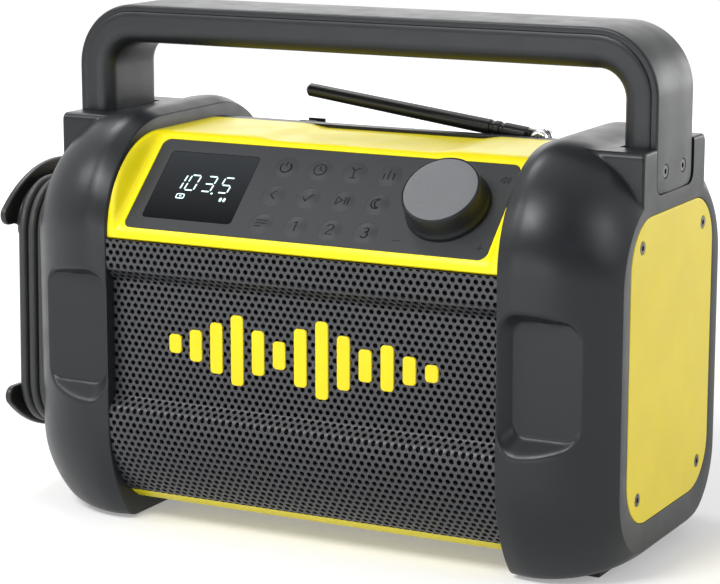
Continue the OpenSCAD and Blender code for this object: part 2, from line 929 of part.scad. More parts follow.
// a key is a low dome with a lip that keeps it behind the panel
module key(col, row) {
  lip_top = -panel_t - key_gap;
  lip_low = lip_top - key_lip_t;
  lip_r = key_r + key_lip;
  color(panel_grey) in_frame() on_panel() at_key(col, row) rotate_extrude() polygon(concat(
    [[0, lip_low], [lip_r, lip_low], [lip_r, lip_top], [key_r, lip_top]],
    [for (i = [0:5]) [key_r * cos(i * 18), key_dome * sin(i * 18)]]
  ));
}

module key_power() {
  key(0, 2);
}

module key_timer() {
  key(1, 2);
}

module key_source() {
  key(2, 2);
}

module key_sound() {
  key(3, 2);
}

module key_back() {
  key(0, 1);
}

module key_select() {
  key(1, 1);
}

module key_play() {
  key(2, 1);
}

module key_sleep() {
  key(3, 1);
}

module key_more() {
  key(0, 0);
}

module key_one() {
  key(1, 0);
}

module key_two() {
  key(2, 0);
}

module key_three() {
  key(3, 0);
}

// the mat lies just under the pressed keys, and a rib at each end reaches up to the panel
module keypad_mat() {
  low = mat_top - mat_t;
  rib_x = (mat_w - mat_rib) / 2;
  color(black) in_frame() {
    panel_box(keys_mid_x, keys_mid_u, low, mat_top, mat_w, mat_u, 2);
    for (x = [keys_mid_x - rib_x, keys_mid_x + rib_x])
      panel_box(x, keys_mid_u, low, -panel_t - key_gap, mat_rib, mat_u - 5, 0);
  }
}

module keypad_board() {
  color(board_green) in_frame() {
    panel_box(keys_mid_x, keys_mid_u, board_top - board_t, board_top, mat_w, mat_u, 2);
    on_panel() at_keys() translate([-3, -3, board_top - 0.2]) cube([6, 6, switch_t + 0.15]);
  }
}

// Volume knob
module at_knob() {
  on_panel() translate([knob_x, knob_u, 0]) children();
}

module volume_knob() {
  foot = knob_lift;
  top = knob_lift + knob_h;
  color(black) in_frame() at_knob() rotate_extrude() polygon([
    [shaft_r + shaft_clear, foot + 3.4], [knob_r - 3, foot + 3.4], [knob_r - 2, foot], [knob_foot_r, foot],
    [knob_foot_r - 0.3, foot + 1.6], [knob_r + 0.5, foot + 2.6], [knob_r, top - 1], [knob_r - 0.5, top - 0.2],
    [knob_face_r + slip, top], [knob_face_r + slip, top - 1.2], [shaft_r + shaft_clear, top - 1.2]
  ]);
}

module knob_face() {
  top = knob_lift + knob_h;
  color(panel_grey) in_frame() at_knob() translate([0, 0, top - 1.15]) cylinder(r = knob_face_r, h = 1.15);
}

module encoder_shaft() {
  color(steel) in_frame() at_knob() translate([0, 0, -8]) cylinder(r = shaft_r, h = shaft_top + 8);
}

module encoder() {
  color(steel) in_frame() at_knob() {
    difference() {
      union() {
        translate([-6.5, -6.5, -9.5]) cube([13, 13, 9.5 - panel_t - 0.1]);
        translate([0, 0, -panel_t - 0.2]) cylinder(r = bush_r, h = panel_t + 2.4);
      }
      translate([0, 0, -8.2]) cylinder(r = shaft_r + shaft_clear, h = 20);
    }
    difference() {
      translate([0, 0, 0.05]) cylinder(r = 5.4, h = 1.7, $fn = 6);
      translate([0, 0, -1]) cylinder(r = bush_r + 0.05, h = 5);
    }
  }
}

// Antenna: a stem that turns in its socket, a fork, a cross pin and the mast
module antenna_socket() {
  color(steel) in_frame() translate([mast_x, mast_y, ledge_z - 12]) difference() {
    cylinder(r = socket_r, h = 12);
    translate([0, 0, -1]) cylinder(r = stem_r + shaft_clear, h = 15);
  }
}

module antenna_swivel() {
  cheek = fork_half - tongue_half - fork_gap;
  seat = 0.35;
  color(steel) in_frame() translate([mast_x, mast_y, 0]) difference() {
    union() {
      translate([0, 0, ledge_z - 13.5]) cylinder(r = stem_r, h = 13.9);
      translate([0, 0, ledge_z - 13.5]) cylinder(r = stem_r + 1, h = 1.4);
      for (y = [-fork_half, tongue_half + fork_gap]) {
        translate([0, y, mast_z]) rotate([-90, 0, 0]) cylinder(r = eye_r + 0.3, h = cheek);
        translate([-eye_r, y, ledge_z + seat]) cube([2 * eye_r, cheek, mast_lift - seat]);
      }
    }
    translate([0, -fork_half - 1, mast_z]) rotate([-90, 0, 0])
      cylinder(r = pin_r + 0.01, h = 2 * fork_half + 2);
  }
}

module antenna_pin() {
  color(steel) in_frame() translate([mast_x, mast_y - fork_half - 0.3, mast_z]) rotate([-90, 0, 0])
    cylinder(r = pin_r, h = 2 * fork_half + 0.6);
}

module antenna_mast() {
  tip_r = mast_r - 0.5;
  color(black) in_frame() translate([mast_x, mast_y, mast_z]) rotate([0, mast_angle, 0]) difference() {
    union() {
      translate([0, -tongue_half, 0]) rotate([-90, 0, 0]) cylinder(r = eye_r, h = 2 * tongue_half);
      translate([-mast_start - 1, -tongue_half, -eye_r + 0.6])
        cube([mast_start + 1, 2 * tongue_half, 2 * eye_r - 1.2]);
      rotate([0, -90, 0]) rotate_extrude() polygon([
        [0, mast_start], [mast_r - 0.8, mast_start], [mast_r, mast_start + 0.8], [mast_r, mast_start + 12],
        [mast_r - 0.5, mast_start + 12.5], [mast_r - 0.5, mast_start + 14], [mast_r, mast_start + 14.5],
        [mast_r, mast_start + 17], [mast_r - 0.5, mast_start + 17.5], [mast_r - 0.5, mast_start + 19],
        [mast_r, mast_start + 19.5], [tip_r, mast_len - 1.5], [tip_r - 1.5, mast_len], [0, mast_len]
      ]);
    }
    translate([0, -fork_half, 0]) rotate([-90, 0, 0]) cylinder(r = pin_r + pin_clear, h = 2 * fork_half);
  }
}

module antenna_clip() {
  gap = mast_r + 0.4;
  color(black) in_frame() translate([clip_x, mast_y, ledge_z]) difference() {
    translate([-clip_l / 2, -gap - 1.2, 0]) cube([clip_l, 2 * gap + 2.4, mast_lift + 1.2]);
    translate([-clip_l, -gap, 0.4]) cube([2 * clip_l, 2 * gap, mast_lift + 5]);
  }
}

// Cord hooks on the left side panel
// a flange's outline from its flat edge at z: arched towards side 1 (up) or -1 (down), with rounded ends
function flange_points(z, side) =
  let (
    end_r = 5,
    end_y = flange_half - end_r,
    k = flange_rise - end_r,
    r = (end_y * end_y + k * k - end_r * end_r) / (2 * (k - end_r)),
    turn = atan2(r - k, end_y),
    outline = concat(
      arc_points([end_y, end_r], end_r, -90, turn, 8),
      arc_points([0, flange_rise - r], r, turn, 180 - turn, 20),
      arc_points([-end_y, end_r], end_r, 180 - turn, 270, 8)
    )
  )
  [for (p = outline) [p.x, z + side * p.y]];

module hook(saddle, saddle_rs, flange_z, side, screw_z) {
  low = [-saddle_half, saddle.x];
  high = [saddle_half, saddle.y];
  flange_x = hook_x - hook_reach;
  in_wall = [saddle_wall, saddle_wall];
  difference() {
    union() {
      along_x(flange_x + flange_t - 0.1, hook_x) rounded(low, high, saddle_rs.x, saddle_rs.y);
      along_x(flange_x, flange_x + flange_t) polygon(flange_points(flange_z, side));
    }
    along_x(flange_x - 1, hook_x - hook_plate_t) difference() {
      rounded(low + in_wall, high - in_wall, saddle_rs.x - saddle_wall, saddle_rs.y - saddle_wall);
      for (y = [-hook_screw_y, hook_screw_y]) translate([y, screw_z]) circle(3.4);
    }
    for (y = [-hook_screw_y, hook_screw_y]) along_x_pin(hook_x - 13, hook_x + 1, [y, screw_z], 1.55);
  }
}

module upper_cord_hook() {
  color(black) in_frame() hook(
    [upper_saddle_low, upper_saddle_high], [4, saddle_r], upper_flange_z, 1, upper_hook_screw_z
  );
}

module lower_cord_hook() {
  color(black) in_frame() difference() {
    hook([lower_saddle_low, lower_saddle_high], [saddle_r, 4], lower_flange_z, -1, lower_hook_screw_z);
    for (y = [-prong_y, prong_y])
      translate([plug_x, y, lower_saddle_high - saddle_wall - 1])
        cylinder(r = prong_r + 0.3, h = saddle_wall + 2);
  }
}

// Power cord: one unbroken tube from the strain relief, around the saddles and back in to the plug
function cord_x_at(s) = cord_x - cord_pitch * (s - start_run) / turn_len;

function turn_points(turn) = [
  for (c = [0:3], i = [0:corner_steps])
    let (
      a = 90 * (c + i / corner_steps),
      s = turn * turn_len + corner_starts[c] + quarter * i / corner_steps,
      m = corner_spots[c]
    )
    [cord_x_at(s), m.x + cord_corner * cos(a), m.y + cord_corner * sin(a)]
];

function ease(t) = t * t * (3 - 2 * t);

// the tail turns over in a half circle, and moves back towards the panel once it is clear of the last turn
function tail_point(a) = [
  cord_out_x + (plug_x - cord_out_x) * ease(max(0, (a - 45) / 135)),
  tail_r + tail_r * cos(a),
  tail_z + tail_r * sin(a)
];

cord_path = concat(
  [[cord_x, cord_half, relief_top]],
  [for (turn = [0:cord_turns - 1]) each turn_points(turn)],
  [for (i = [0:tail_rings]) tail_point(180 * i / tail_rings)],
  [[plug_x, 0, plug_low + plug_h + plug_neck]]
);

function unit(v) = v / norm(v);

function tube_points(path, r, sides) = [
  for (i = [0:len(path) - 1])
    let (
      t = unit(path[min(i + 1, len(path) - 1)] - path[max(i - 1, 0)]),
      n = unit(cross(t, [1, 0, 0])),
      b = cross(t, n)
    )
    for (j = [0:sides - 1]) path[i] + r * (cos(360 * j / sides) * n + sin(360 * j / sides) * b)
];

function tube_faces(rings, sides) = concat(
  [[for (j = [0:sides - 1]) j]],
  [
    for (i = [0:rings - 2], j = [0:sides - 1], half = [0, 1])
      let (a = i * sides + j, b = i * sides + (j + 1) % sides)
      half == 0 ? [a, a + sides, b] : [b, a + sides, b + sides]
  ],
  [[for (j = [sides - 1:-1:0]) (rings - 1) * sides + j]]
);

// the least gap between stretches of the cord that aren't neighbours, measured on points along it
cord_samples = [
  for (i = [0:len(cord_path) - 2], k = [0:3]) cord_path[i] + (cord_path[i + 1] - cord_path[i]) * k / 4
];
cord_gap = min([
  for (i = [0:len(cord_samples) - 61], j = [i + 60:len(cord_samples) - 1])
    norm(cord_samples[i] - cord_samples[j])
]) - cord_d;
echo(cord_least_gap = cord_gap);
cord_length = [for (i = [0:len(cord_path) - 2]) norm(cord_path[i + 1] - cord_path[i])];
echo(cord_length = cord_length * [for (i = cord_length) 1]);

module power_cord() {
  color(black) in_frame() polyhedron(
    points = tube_points(cord_path, cord_r, cord_sides), faces = tube_faces(len(cord_path), cord_sides)
  );
}

// the strain relief stands on the left side panel and tapers towards the cord
module cord_strain_relief() {
  low = relief_top - relief_len;
  tip_half = cord_r + 0.2;
  color(black) in_frame() along_x(cord_x - cord_r, hook_x) polygon([
    [cord_half - relief_half, low], [cord_half + relief_half, low],
    [cord_half + tip_half, relief_top], [cord_half - tip_half, relief_top]
  ]);
}

module power_plug() {
  color(black) in_frame() translate([plug_x, 0, plug_low]) {
    linear_extrude(height = plug_h) rounded([-plug_t / 2, -plug_half], [plug_t / 2, plug_half], 5, 5);
    translate([0, 0, plug_h - 0.1]) cylinder(r1 = plug_t / 2 - 0.5, r2 = cord_r + 0.8, h = plug_neck + 0.1);
    for (y = [-prong_y, prong_y]) translate([0, y, -prong_len]) cylinder(r = prong_r, h = prong_len + 1);
  }
}

// Speakers: local z points out of the front
module at_driver(side) {
  translate([side * driver_x, baffle_y, driver_z]) rotate([90, 0, 0]) children();
}

module at_driver_screws(z) {
  for (a = [45:90:315]) rotate([0, 0, a]) translate([driver_r - 3, 0, z]) children();
}

module speaker_baffle() {
  half = core_x - wall - slip;
  color(black) in_frame() difference() {
    along_y(baffle_y, baffle_y + baffle_t) rounded([-half, baffle_low], [half, baffle_high], 0, 0);
    for (side = [-1, 1]) at_driver(side) {
      translate([0, 0, -baffle_t - 1]) cylinder(r = basket_r + 0.5, h = baffle_t + 2);
      at_driver_screws(-baffle_t - 1) cylinder(r = 1.55, h = baffle_t + 2, $fn = 24);
    }
  }
}

// a basket and a magnet for each driver
module speaker_drivers() {
  basket_back = basket_depth + basket_floor;
  magnet_top = -basket_back - 0.05;
  color(black) in_frame() for (side = [-1, 1]) at_driver(side) {
    difference() {
      rotate_extrude() polygon([
        [basket_r - 1.2, flange_depth], [driver_r, flange_depth], [driver_r, 0], [basket_r, 0],
        [magnet_r + 0.6, -basket_depth], [magnet_r + 0.6, -basket_back],
        [coil_r + 2.5, -basket_back], [coil_r + 2.5, -basket_depth], [magnet_r - 1, -basket_depth],
        [basket_r - 1.2, 0]
      ]);
      at_driver_screws(-1) cylinder(r = 1.7, h = 5, $fn = 24);
    }
    rotate_extrude() polygon([
      [0, -driver_depth], [magnet_r, -driver_depth], [magnet_r, magnet_top], [coil_r + 2, magnet_top],
      [coil_r + 2, 3 - driver_depth], [coil_r - 1.5, 3 - driver_depth], [coil_r - 1.5, -basket_depth],
      [0, -basket_depth]
    ]);
  }
}

// a cone with its coil former, dust cap and the moving part of its surround
module driver_cone(side) {
  rim = basket_r - 1.2 - cone_gap;
  color(black) in_frame() at_driver(side) rotate_extrude() polygon([
    [0, -8], [coil_r - 0.4, -12], [coil_r - 0.4, -31], [coil_r + 0.3, -31], [coil_r + 0.3, -14],
    [rim - 4.6, -0.6], [rim - 3.6, 1], [rim, 1], [rim, 2.4], [rim - 5, 2], [coil_r, -11], [0, -7]
  ]);
}

module left_driver_cone() {
  driver_cone(-1);
}

module right_driver_cone() {
  driver_cone(1);
}

module driver_screws() {
  color(steel) in_frame() for (side = [-1, 1])
    at_driver(side) at_driver_screws(flange_depth + 1.4) screw(8, 2.6, 1.4, 1.5);
}

// Power, boards and sockets inside the core
module battery_pack() {
  color(panel_grey) in_frame() along_y(tray_front + tray_wall + 0.5, core_rear - door_t - 0.6)
    door_outline(-door_ledge - 0.4);
}

module battery_door() {
  color(charcoal) in_frame() difference() {
    along_y(core_rear - door_t, core_rear) door_outline(0);
    for (x = door_screw_xs) {
      along_y_pin(core_rear - door_t - 1, core_rear + 1, [x, door_z], 1.7);
      along_y_pin(core_rear - 1.3, core_rear + 1, [x, door_z], 3);
    }
  }
}

module main_board() {
  back = tray_front - 4;
  color(board_green) in_frame() {
    along_y(back - board_t, back) door_outline(-tray_inset);
    along_y(back - board_t - 9, back - board_t + 0.1) rounded([tray_x - 20, 74], [tray_x + 12, 92], 1, 1);
  }
}

module power_supply() {
  color(panel_grey) in_frame()
    translate([supply_corner.x, supply_corner.y, core_base + wall + 0.05]) cube(supply_size);
}

module usb_outline(grow) {
  rounded([usb_x - 6.6 - grow, bay_z - 2.9 - grow], [usb_x + 6.6 + grow, bay_z + 2.9 + grow], 0.5, 0.5);
}

// the board behind the socket bay, with a charging socket and a round audio socket
module socket_board() {
  color(board_green) in_frame() {
    difference() {
      along_y(socket_board_y - 0.1, bay_floor + socket_proud) usb_outline(0);
      along_y(socket_board_y + 2, bay_floor + 1) difference() {
        usb_outline(-0.5);
        rounded([usb_x - 5.6, bay_z + 0.3], [usb_x + 5.6, bay_z + 2.2], 0, 0);
      }
    }
    difference() {
      union() {
        along_y(socket_board_y - board_t, socket_board_y) bay_outline(-2);
        along_y_pin(bay_floor - aux_depth - 1, bay_floor + socket_proud, [aux_x, bay_z], aux_r);
      }
      along_y_pin(bay_floor - aux_depth, bay_floor + 1, [aux_x, bay_z], aux_bore_r);
    }
  }
}

// the flap turns on a pin near its left edge and closes the socket bay
module flap_pin_at(z0, z1, r) {
  translate([flap_axis_x, flap_axis_y, z0]) cylinder(r = r, h = z1 - z0, $fn = 32);
}

module socket_flap() {
  z0 = bay_low + flap_gap;
  z1 = bay_high - flap_gap;
  color(black) in_frame() difference() {
    union() {
      flap_pin_at(z0, z1, flap_barrel_r);
      along_y(core_rear - flap_t, core_rear)
        rounded([flap_axis_x, z0], [bay_x + bay_half - flap_gap, z1], bay_r, bay_r);
    }
    flap_pin_at(z0 - 1, z1 + 1, flap_pin_r + 0.05);
  }
}

module flap_pin() {
  color(steel) in_frame() flap_pin_at(bay_low - flap_pin_grip, bay_high + flap_pin_grip, flap_pin_r);
}

left_end_cap();
right_end_cap();
feet();
inner_screws();
left_side_panel();
right_side_panel();
side_panel_screws();
handle_frame();
handle_band();
handle_screws();
front_shell();
rear_shell();
rear_screws();
grille();
grille_cloth();
grille_badge();
control_panel();
display_window();
display_module();
key_power();
key_timer();
key_source();
key_sound();
key_back();
key_select();
key_play();
key_sleep();
key_more();
key_one();
key_two();
key_three();
keypad_mat();
keypad_board();
volume_knob();
knob_face();
encoder_shaft();
encoder();
antenna_socket();
antenna_swivel();
antenna_pin();
antenna_mast();
antenna_clip();
upper_cord_hook();
lower_cord_hook();
power_cord();
cord_strain_relief();
power_plug();
speaker_baffle();
speaker_drivers();
left_driver_cone();
right_driver_cone();
driver_screws();
battery_pack();
battery_door();
main_board();
power_supply();
socket_board();
socket_flap();
flap_pin();
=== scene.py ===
"""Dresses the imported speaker: camera, cord, smooth outer pieces, finishes, light and a pale floor.

Sizes are in millimetres in the body's own coordinates, whose x = 0 is the middle of the body.
at() turns them into metres in the row frame.
"""

import contextlib
import json
import math

import bmesh
import bpy
from mathutils import Matrix, Vector

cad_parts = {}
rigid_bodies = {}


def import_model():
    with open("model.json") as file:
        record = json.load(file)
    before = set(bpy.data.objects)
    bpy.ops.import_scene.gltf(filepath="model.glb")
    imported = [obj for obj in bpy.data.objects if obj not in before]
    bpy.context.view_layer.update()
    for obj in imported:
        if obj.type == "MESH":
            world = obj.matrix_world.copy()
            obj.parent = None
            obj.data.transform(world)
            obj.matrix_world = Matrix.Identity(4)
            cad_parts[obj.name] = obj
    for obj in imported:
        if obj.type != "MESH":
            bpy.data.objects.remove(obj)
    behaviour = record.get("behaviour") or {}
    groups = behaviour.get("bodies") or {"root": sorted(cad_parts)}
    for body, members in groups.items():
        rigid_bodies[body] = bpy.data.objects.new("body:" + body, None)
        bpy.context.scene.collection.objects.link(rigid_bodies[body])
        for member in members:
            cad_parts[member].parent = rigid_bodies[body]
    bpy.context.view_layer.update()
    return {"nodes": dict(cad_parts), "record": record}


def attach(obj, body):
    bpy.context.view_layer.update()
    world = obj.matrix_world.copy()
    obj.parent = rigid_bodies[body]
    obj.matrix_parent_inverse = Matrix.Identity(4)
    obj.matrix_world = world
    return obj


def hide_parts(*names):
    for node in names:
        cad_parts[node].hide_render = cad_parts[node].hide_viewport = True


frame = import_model()
NODES = frame["nodes"]
BODY_OF = {n: body for body, names in frame["record"]["behaviour"]["bodies"].items() for n in names}
SLOT_OF = {row["node"]: row["material_slot"] for row in frame["record"]["subparts"]}

MM = 0.001
WELD = 1e-6
FRAME_SHIFT = 15.75

# Body
SIDE_X = 150.0
CORE_X = 101.0
CORE_FRONT = -77.5
CORE_TOP = 185.0
CORE_BASE = 10.0
CORE_TOP_R = 45.0
SPLIT_Y = 20.0

# Control panel: u runs up its slope and w out of it
PANEL_TILT = math.radians(43)
PANEL_FOOT = (-75.5, 145.5)
PANEL_W = 184.6
PANEL_U = 53.0
KEY_X0 = -22.0
KEY_U0 = 8.5
KEY_PITCH_X = 17.7
KEY_PITCH_U = 16.4
KEY_R = 6.0
KNOB_SPOT = (65.4, 27.0)
DISPLAY_SPOT = (-61.2, 26.3)
DISPLAY_HALF = (23.75, 19.75)


def at(x, y, z):
    return Vector(((x + FRAME_SHIFT) * MM, y * MM, z * MM))


def on_panel(x, u, w):
    """A point given along the control panel, up its slope and out of it."""
    c, s = math.cos(PANEL_TILT), math.sin(PANEL_TILT)
    return at(x, PANEL_FOOT[0] + u * c - w * s, PANEL_FOOT[1] + u * s + w * c)


def new_object(name, data):
    obj = bpy.data.objects.new(name, data)
    bpy.context.scene.collection.objects.link(obj)
    return obj


# Camera: fitted to the photograph's outlines
CAMERA_AZIMUTH = math.radians(27.6)
CAMERA_HEIGHT = math.radians(11.49)
CAMERA_DISTANCE = 1203.8
CAMERA_LENS = 126.71
CAMERA_AIM = (-6.83, -0.53)
AIM_Z = 110


def make_camera():
    ca, sa = math.cos(CAMERA_AZIMUTH), math.sin(CAMERA_AZIMUTH)
    ce, se = math.cos(CAMERA_HEIGHT), math.sin(CAMERA_HEIGHT)
    back = Vector((sa * ce, -ca * ce, se))
    right = Vector((ca, sa, 0))
    up = back.cross(right)
    target = at(0, 0, AIM_Z) + (right * CAMERA_AIM[0] + up * CAMERA_AIM[1]) * MM
    data = bpy.data.cameras.new("camera")
    data.lens = CAMERA_LENS
    data.sensor_width = 36
    data.clip_start = 0.05
    camera = new_object("camera", data)
    turn = Matrix((right, up, back)).transposed().to_4x4()
    camera.matrix_world = Matrix.Translation(target + back * CAMERA_DISTANCE * MM) @ turn
    bpy.context.scene.camera = camera


make_camera()


# Finishes
def feed(socket, value):
    """Sets an input, or links it to another node's output."""
    if isinstance(value, bpy.types.NodeSocket):
        socket.id_data.links.new(value, socket)
    else:
        socket.default_value = value


class Finish:
    """A procedural material: its shader, and short ways to add the nodes that drive it."""

    def __init__(self, name, **sockets):
        self.material = bpy.data.materials.new(name)
        self.material.use_nodes = True
        self.tree = self.material.node_tree
        self.shader = self.tree.nodes["Principled BSDF"]
        for socket, value in sockets.items():
            self.shader.inputs[socket.replace("_", " ")].default_value = value
        self.place = self.add("ShaderNodeTexCoord").outputs["Object"]

    def add(self, kind, **inputs):
        node = self.tree.nodes.new(kind)
        for socket, value in inputs.items():
            feed(node.inputs[socket.replace("_", " ")], value)
        return node

    def drive(self, socket, value):
        feed(self.shader.inputs[socket], value)
        return self

    def ramp(self, share, first, last, ends=(0.0, 1.0)):
        """A colour from first to last, as a share goes from one end to the other."""
        node = self.add("ShaderNodeValToRGB", Fac=share)
        for element, place, colour in zip(node.color_ramp.elements, ends, (first, last)):
            element.position = place
            element.color = [*colour, 1]
        return node.outputs["Color"]

    def noise(self, size_mm, detail=2.0, roughness=0.5):
        """A noise whose features are about this large."""
        scale = 1 / (size_mm * MM)
        return self.add(
            "ShaderNodeTexNoise", Vector=self.place, Scale=scale, Detail=detail, Roughness=roughness
        ).outputs["Fac"]

    def spread(self, value, low, high):
        """Maps the middle of a noise to a range."""
        node = self.add(
            "ShaderNodeMapRange", Value=value, From_Min=0.25, From_Max=0.75, To_Min=low, To_Max=high
        )
        return node.outputs["Result"]

    def tone(self, colour, change, size_mm):
        """The base colour, a little lighter and darker in places."""
        darker = [c * (1 - change) for c in colour]
        lighter = [min(1, c * (1 + change)) for c in colour]
        return self.drive("Base Color", self.ramp(self.noise(size_mm), darker, lighter, (0.3, 0.7)))

    def rough(self, low, high, size_mm):
        return self.drive("Roughness", self.spread(self.noise(size_mm), low, high))

    def bump(self, height, depth_mm, strength=1.0):
        node = self.add("ShaderNodeBump", Height=height, Distance=depth_mm * MM, Strength=strength)
        return self.drive("Normal", node.outputs["Normal"])

    def grain(self, size_mm, depth_mm):
        """The fine texture of a mould."""
        return self.bump(self.noise(size_mm, detail=3, roughness=0.6), depth_mm)


def grained_plastic(name, colour, roughness, size_mm, depth_mm, specular=0.5):
    """Moulded plastic with grain of a size and a depth, and slightly uneven gloss."""
    finish = Finish(name, Specular_IOR_Level=specular)
    finish.tone(colour, 0.03, 25)
    finish.rough(roughness - 0.04, roughness + 0.05, 12)
    return finish.grain(size_mm, depth_mm).material


def plain_metal(name, colour, roughness):
    finish = Finish(name, Metallic=1.0)
    finish.tone(colour, 0.04, 6)
    finish.rough(roughness - 0.04, roughness + 0.06, 1.5)
    return finish.grain(0.3, 0.004).material


def lit_segments():
    """The display's glowing figures, a little uneven along each stroke."""
    finish = Finish("lit_segments", Emission_Strength=1.0, Roughness=0.4)
    finish.tone((0.45, 0.6, 0.62), 0.05, 3)
    glow = finish.ramp(finish.noise(1.5), (0.5, 0.74, 0.76), (0.72, 0.9, 0.9))
    return finish.drive("Emission Color", glow).material


def display_glass_painted_reflection():
    """Smoked glass, with a painted reflection that makes it lighter towards its upper edge."""
    finish = Finish("display_glass_painted_reflection", Roughness=0.16, Specular_IOR_Level=0.08)
    height = finish.add("ShaderNodeSeparateXYZ", Vector=finish.place).outputs["Z"]
    low, high = 150 * MM, 177 * MM
    share = finish.add("ShaderNodeMapRange", Value=height, From_Min=low, From_Max=high).outputs["Result"]
    # Painted reflection: the base colour grows lighter with height, from near black at the window's foot to
    # dark grey at its top.
    finish.drive("Base Color", finish.ramp(share, (0.003, 0.0038, 0.0042), (0.026, 0.029, 0.032)))
    return finish.grain(3.0, 0.002).material


def ribbed_cord():
    """A rubber cord with fine ribs around it, which follow its own length."""
    finish = Finish("ribbed_cord")
    finish.tone((0.02, 0.021, 0.023), 0.15, 20)
    finish.rough(0.38, 0.5, 8)
    along = finish.add("ShaderNodeUVMap")
    wave = finish.add("ShaderNodeTexWave", Vector=along.outputs["UV"], Scale=0.5, Distortion=0.0)
    wave.wave_type = "BANDS"
    wave.bands_direction = "X"
    return finish.bump(wave.outputs["Fac"], 0.12, 0.6).material


def woven_cloth():
    finish = Finish("woven_cloth", Roughness=0.95)
    finish.tone((0.004, 0.004, 0.0045), 0.2, 4)
    both = finish.add("ShaderNodeMath")
    both.operation = "MULTIPLY"
    for number, direction in enumerate("XZ"):
        wave = finish.add("ShaderNodeTexWave", Vector=finish.place, Scale=320.0)
        wave.bands_direction = direction
        feed(both.inputs[number], wave.outputs["Fac"])
    return finish.bump(both.outputs["Value"], 0.1).material


CHARCOAL = grained_plastic("charcoal_plastic", (0.0105, 0.0122, 0.0145), 0.36, 0.6, 0.012, 0.34)
HANDLE_GREY = grained_plastic("handle_plastic", (0.0115, 0.0132, 0.0152), 0.38, 0.45, 0.006, 0.4)
YELLOW = grained_plastic("yellow_gloss", (0.84, 0.715, 0.006), 0.33, 0.6, 0.0012, 0.36)
YELLOW_SIDE = grained_plastic("yellow_satin", (0.8, 0.635, 0.01), 0.36, 0.5, 0.004, 0.3)
PANEL_GREY = grained_plastic("panel_satin", (0.029, 0.031, 0.0345), 0.48, 0.35, 0.008, 0.25)
KEY_GREY = grained_plastic("key_rubber", (0.029, 0.031, 0.0345), 0.48, 0.35, 0.008, 0.25)
# The key signs are raised in the keys' own grey, so this much darker grey paints the shade along their
# strokes; the volume signs on the panel use it too.
SIGN_SHADE_GREY = grained_plastic("raised_marks_painted_shade", (0.005, 0.005, 0.006), 0.5, 0.3, 0.01, 0.2)
GRILLE_GREY = grained_plastic("grille_coat", (0.035, 0.036, 0.04), 0.36, 0.25, 0.01)
CLOTH = woven_cloth()
DISPLAY_BLACK = display_glass_painted_reflection()
LIT = lit_segments()
KNOB_BLACK = grained_plastic("knob_gloss", (0.012, 0.013, 0.0145), 0.38, 0.8, 0.006, 0.25)
KNOB_FACE = grained_plastic("knob_face_grain", (0.098, 0.102, 0.109), 0.5, 1.1, 0.2)
BLACK_PLASTIC = grained_plastic("black_plastic", (0.012, 0.0125, 0.0135), 0.38, 0.5, 0.025)
MAST_BLACK = grained_plastic("mast_sheath", (0.01, 0.0105, 0.0115), 0.36, 0.8, 0.008)
RUBBER = grained_plastic("foot_rubber", (0.014, 0.014, 0.015), 0.75, 0.3, 0.03)
CORD = ribbed_cord()
CORD_PLAIN = grained_plastic("relief_rubber", (0.016, 0.017, 0.018), 0.5, 0.4, 0.02)
STEEL = plain_metal("screw_steel", (0.42, 0.43, 0.45), 0.3)
DARK_STEEL = plain_metal("black_steel", (0.1, 0.1, 0.105), 0.35)
CHROME = plain_metal("chrome", (0.8, 0.8, 0.82), 0.08)
BOARD = grained_plastic("board_green", (0.02, 0.09, 0.035), 0.4, 1.5, 0.02)
MODULE = grained_plastic("module_grey", (0.06, 0.06, 0.065), 0.55, 0.5, 0.02)
PAPER = grained_plastic("cone_paper", (0.02, 0.02, 0.021), 0.85, 0.7, 0.05)


# Mesh helpers
def place_mesh(name, mesh, material, angle=30):
    """An object for a mesh, smooth but for its edges sharper than this angle."""
    mesh.materials.clear()
    mesh.materials.append(material)
    mesh.shade_smooth()
    mesh.set_sharp_from_angle(angle=math.radians(angle))
    return new_object(name, mesh)


@contextlib.contextmanager
def editing(mesh):
    """A bmesh of a mesh, written back at the end."""
    bm = bmesh.new()
    bm.from_mesh(mesh)
    yield bm
    bm.to_mesh(mesh)
    bm.free()


def plain_mesh(obj):
    """A new mesh of an object with its modifiers applied."""
    depsgraph = bpy.context.evaluated_depsgraph_get()
    return bpy.data.meshes.new_from_object(obj.evaluated_get(depsgraph), depsgraph=depsgraph)


def mesh_from(name, verts, faces, merge=True):
    mesh = bpy.data.meshes.new(name)
    mesh.from_pydata([tuple(v) for v in verts], [], faces)
    if merge:
        with editing(mesh) as bm:
            bmesh.ops.remove_doubles(bm, verts=bm.verts, dist=WELD)
            bmesh.ops.recalc_face_normals(bm, faces=bm.faces)
    return mesh


def stands_for(obj, *nodes):
    """The piece takes the place and the body of these CAD nodes, which it hides."""
    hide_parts(*nodes)
    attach(obj, BODY_OF[nodes[0]])
    return obj


def joins(obj, body):
    """A small piece that stands for no CAD node of its own."""
    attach(obj, body)
    return obj


def finished(obj):
    """The object with its modifiers turned into a plain mesh."""
    mesh = plain_mesh(obj)
    obj.modifiers.clear()
    obj.data = mesh
    return obj


def round_edges(obj, width_mm, segments=3, angle=32):
    """Rounds the edges sharper than an angle."""
    with editing(obj.data) as bm:
        bmesh.ops.remove_doubles(bm, verts=bm.verts, dist=2 * WELD)
        bmesh.ops.dissolve_degenerate(bm, edges=bm.edges, dist=2 * WELD)
        sharp = [
            e for e in bm.edges if len(e.link_faces) == 2 and e.calc_face_angle() > math.radians(angle)
        ]
        bmesh.ops.bevel(
            bm, geom=sharp, offset=width_mm * MM, offset_type="OFFSET", segments=segments, profile=0.5,
            affect="EDGES", clamp_overlap=False,
        )
        bmesh.ops.triangulate(bm, faces=[f for f in bm.faces if len(f.verts) > 4])
    return obj


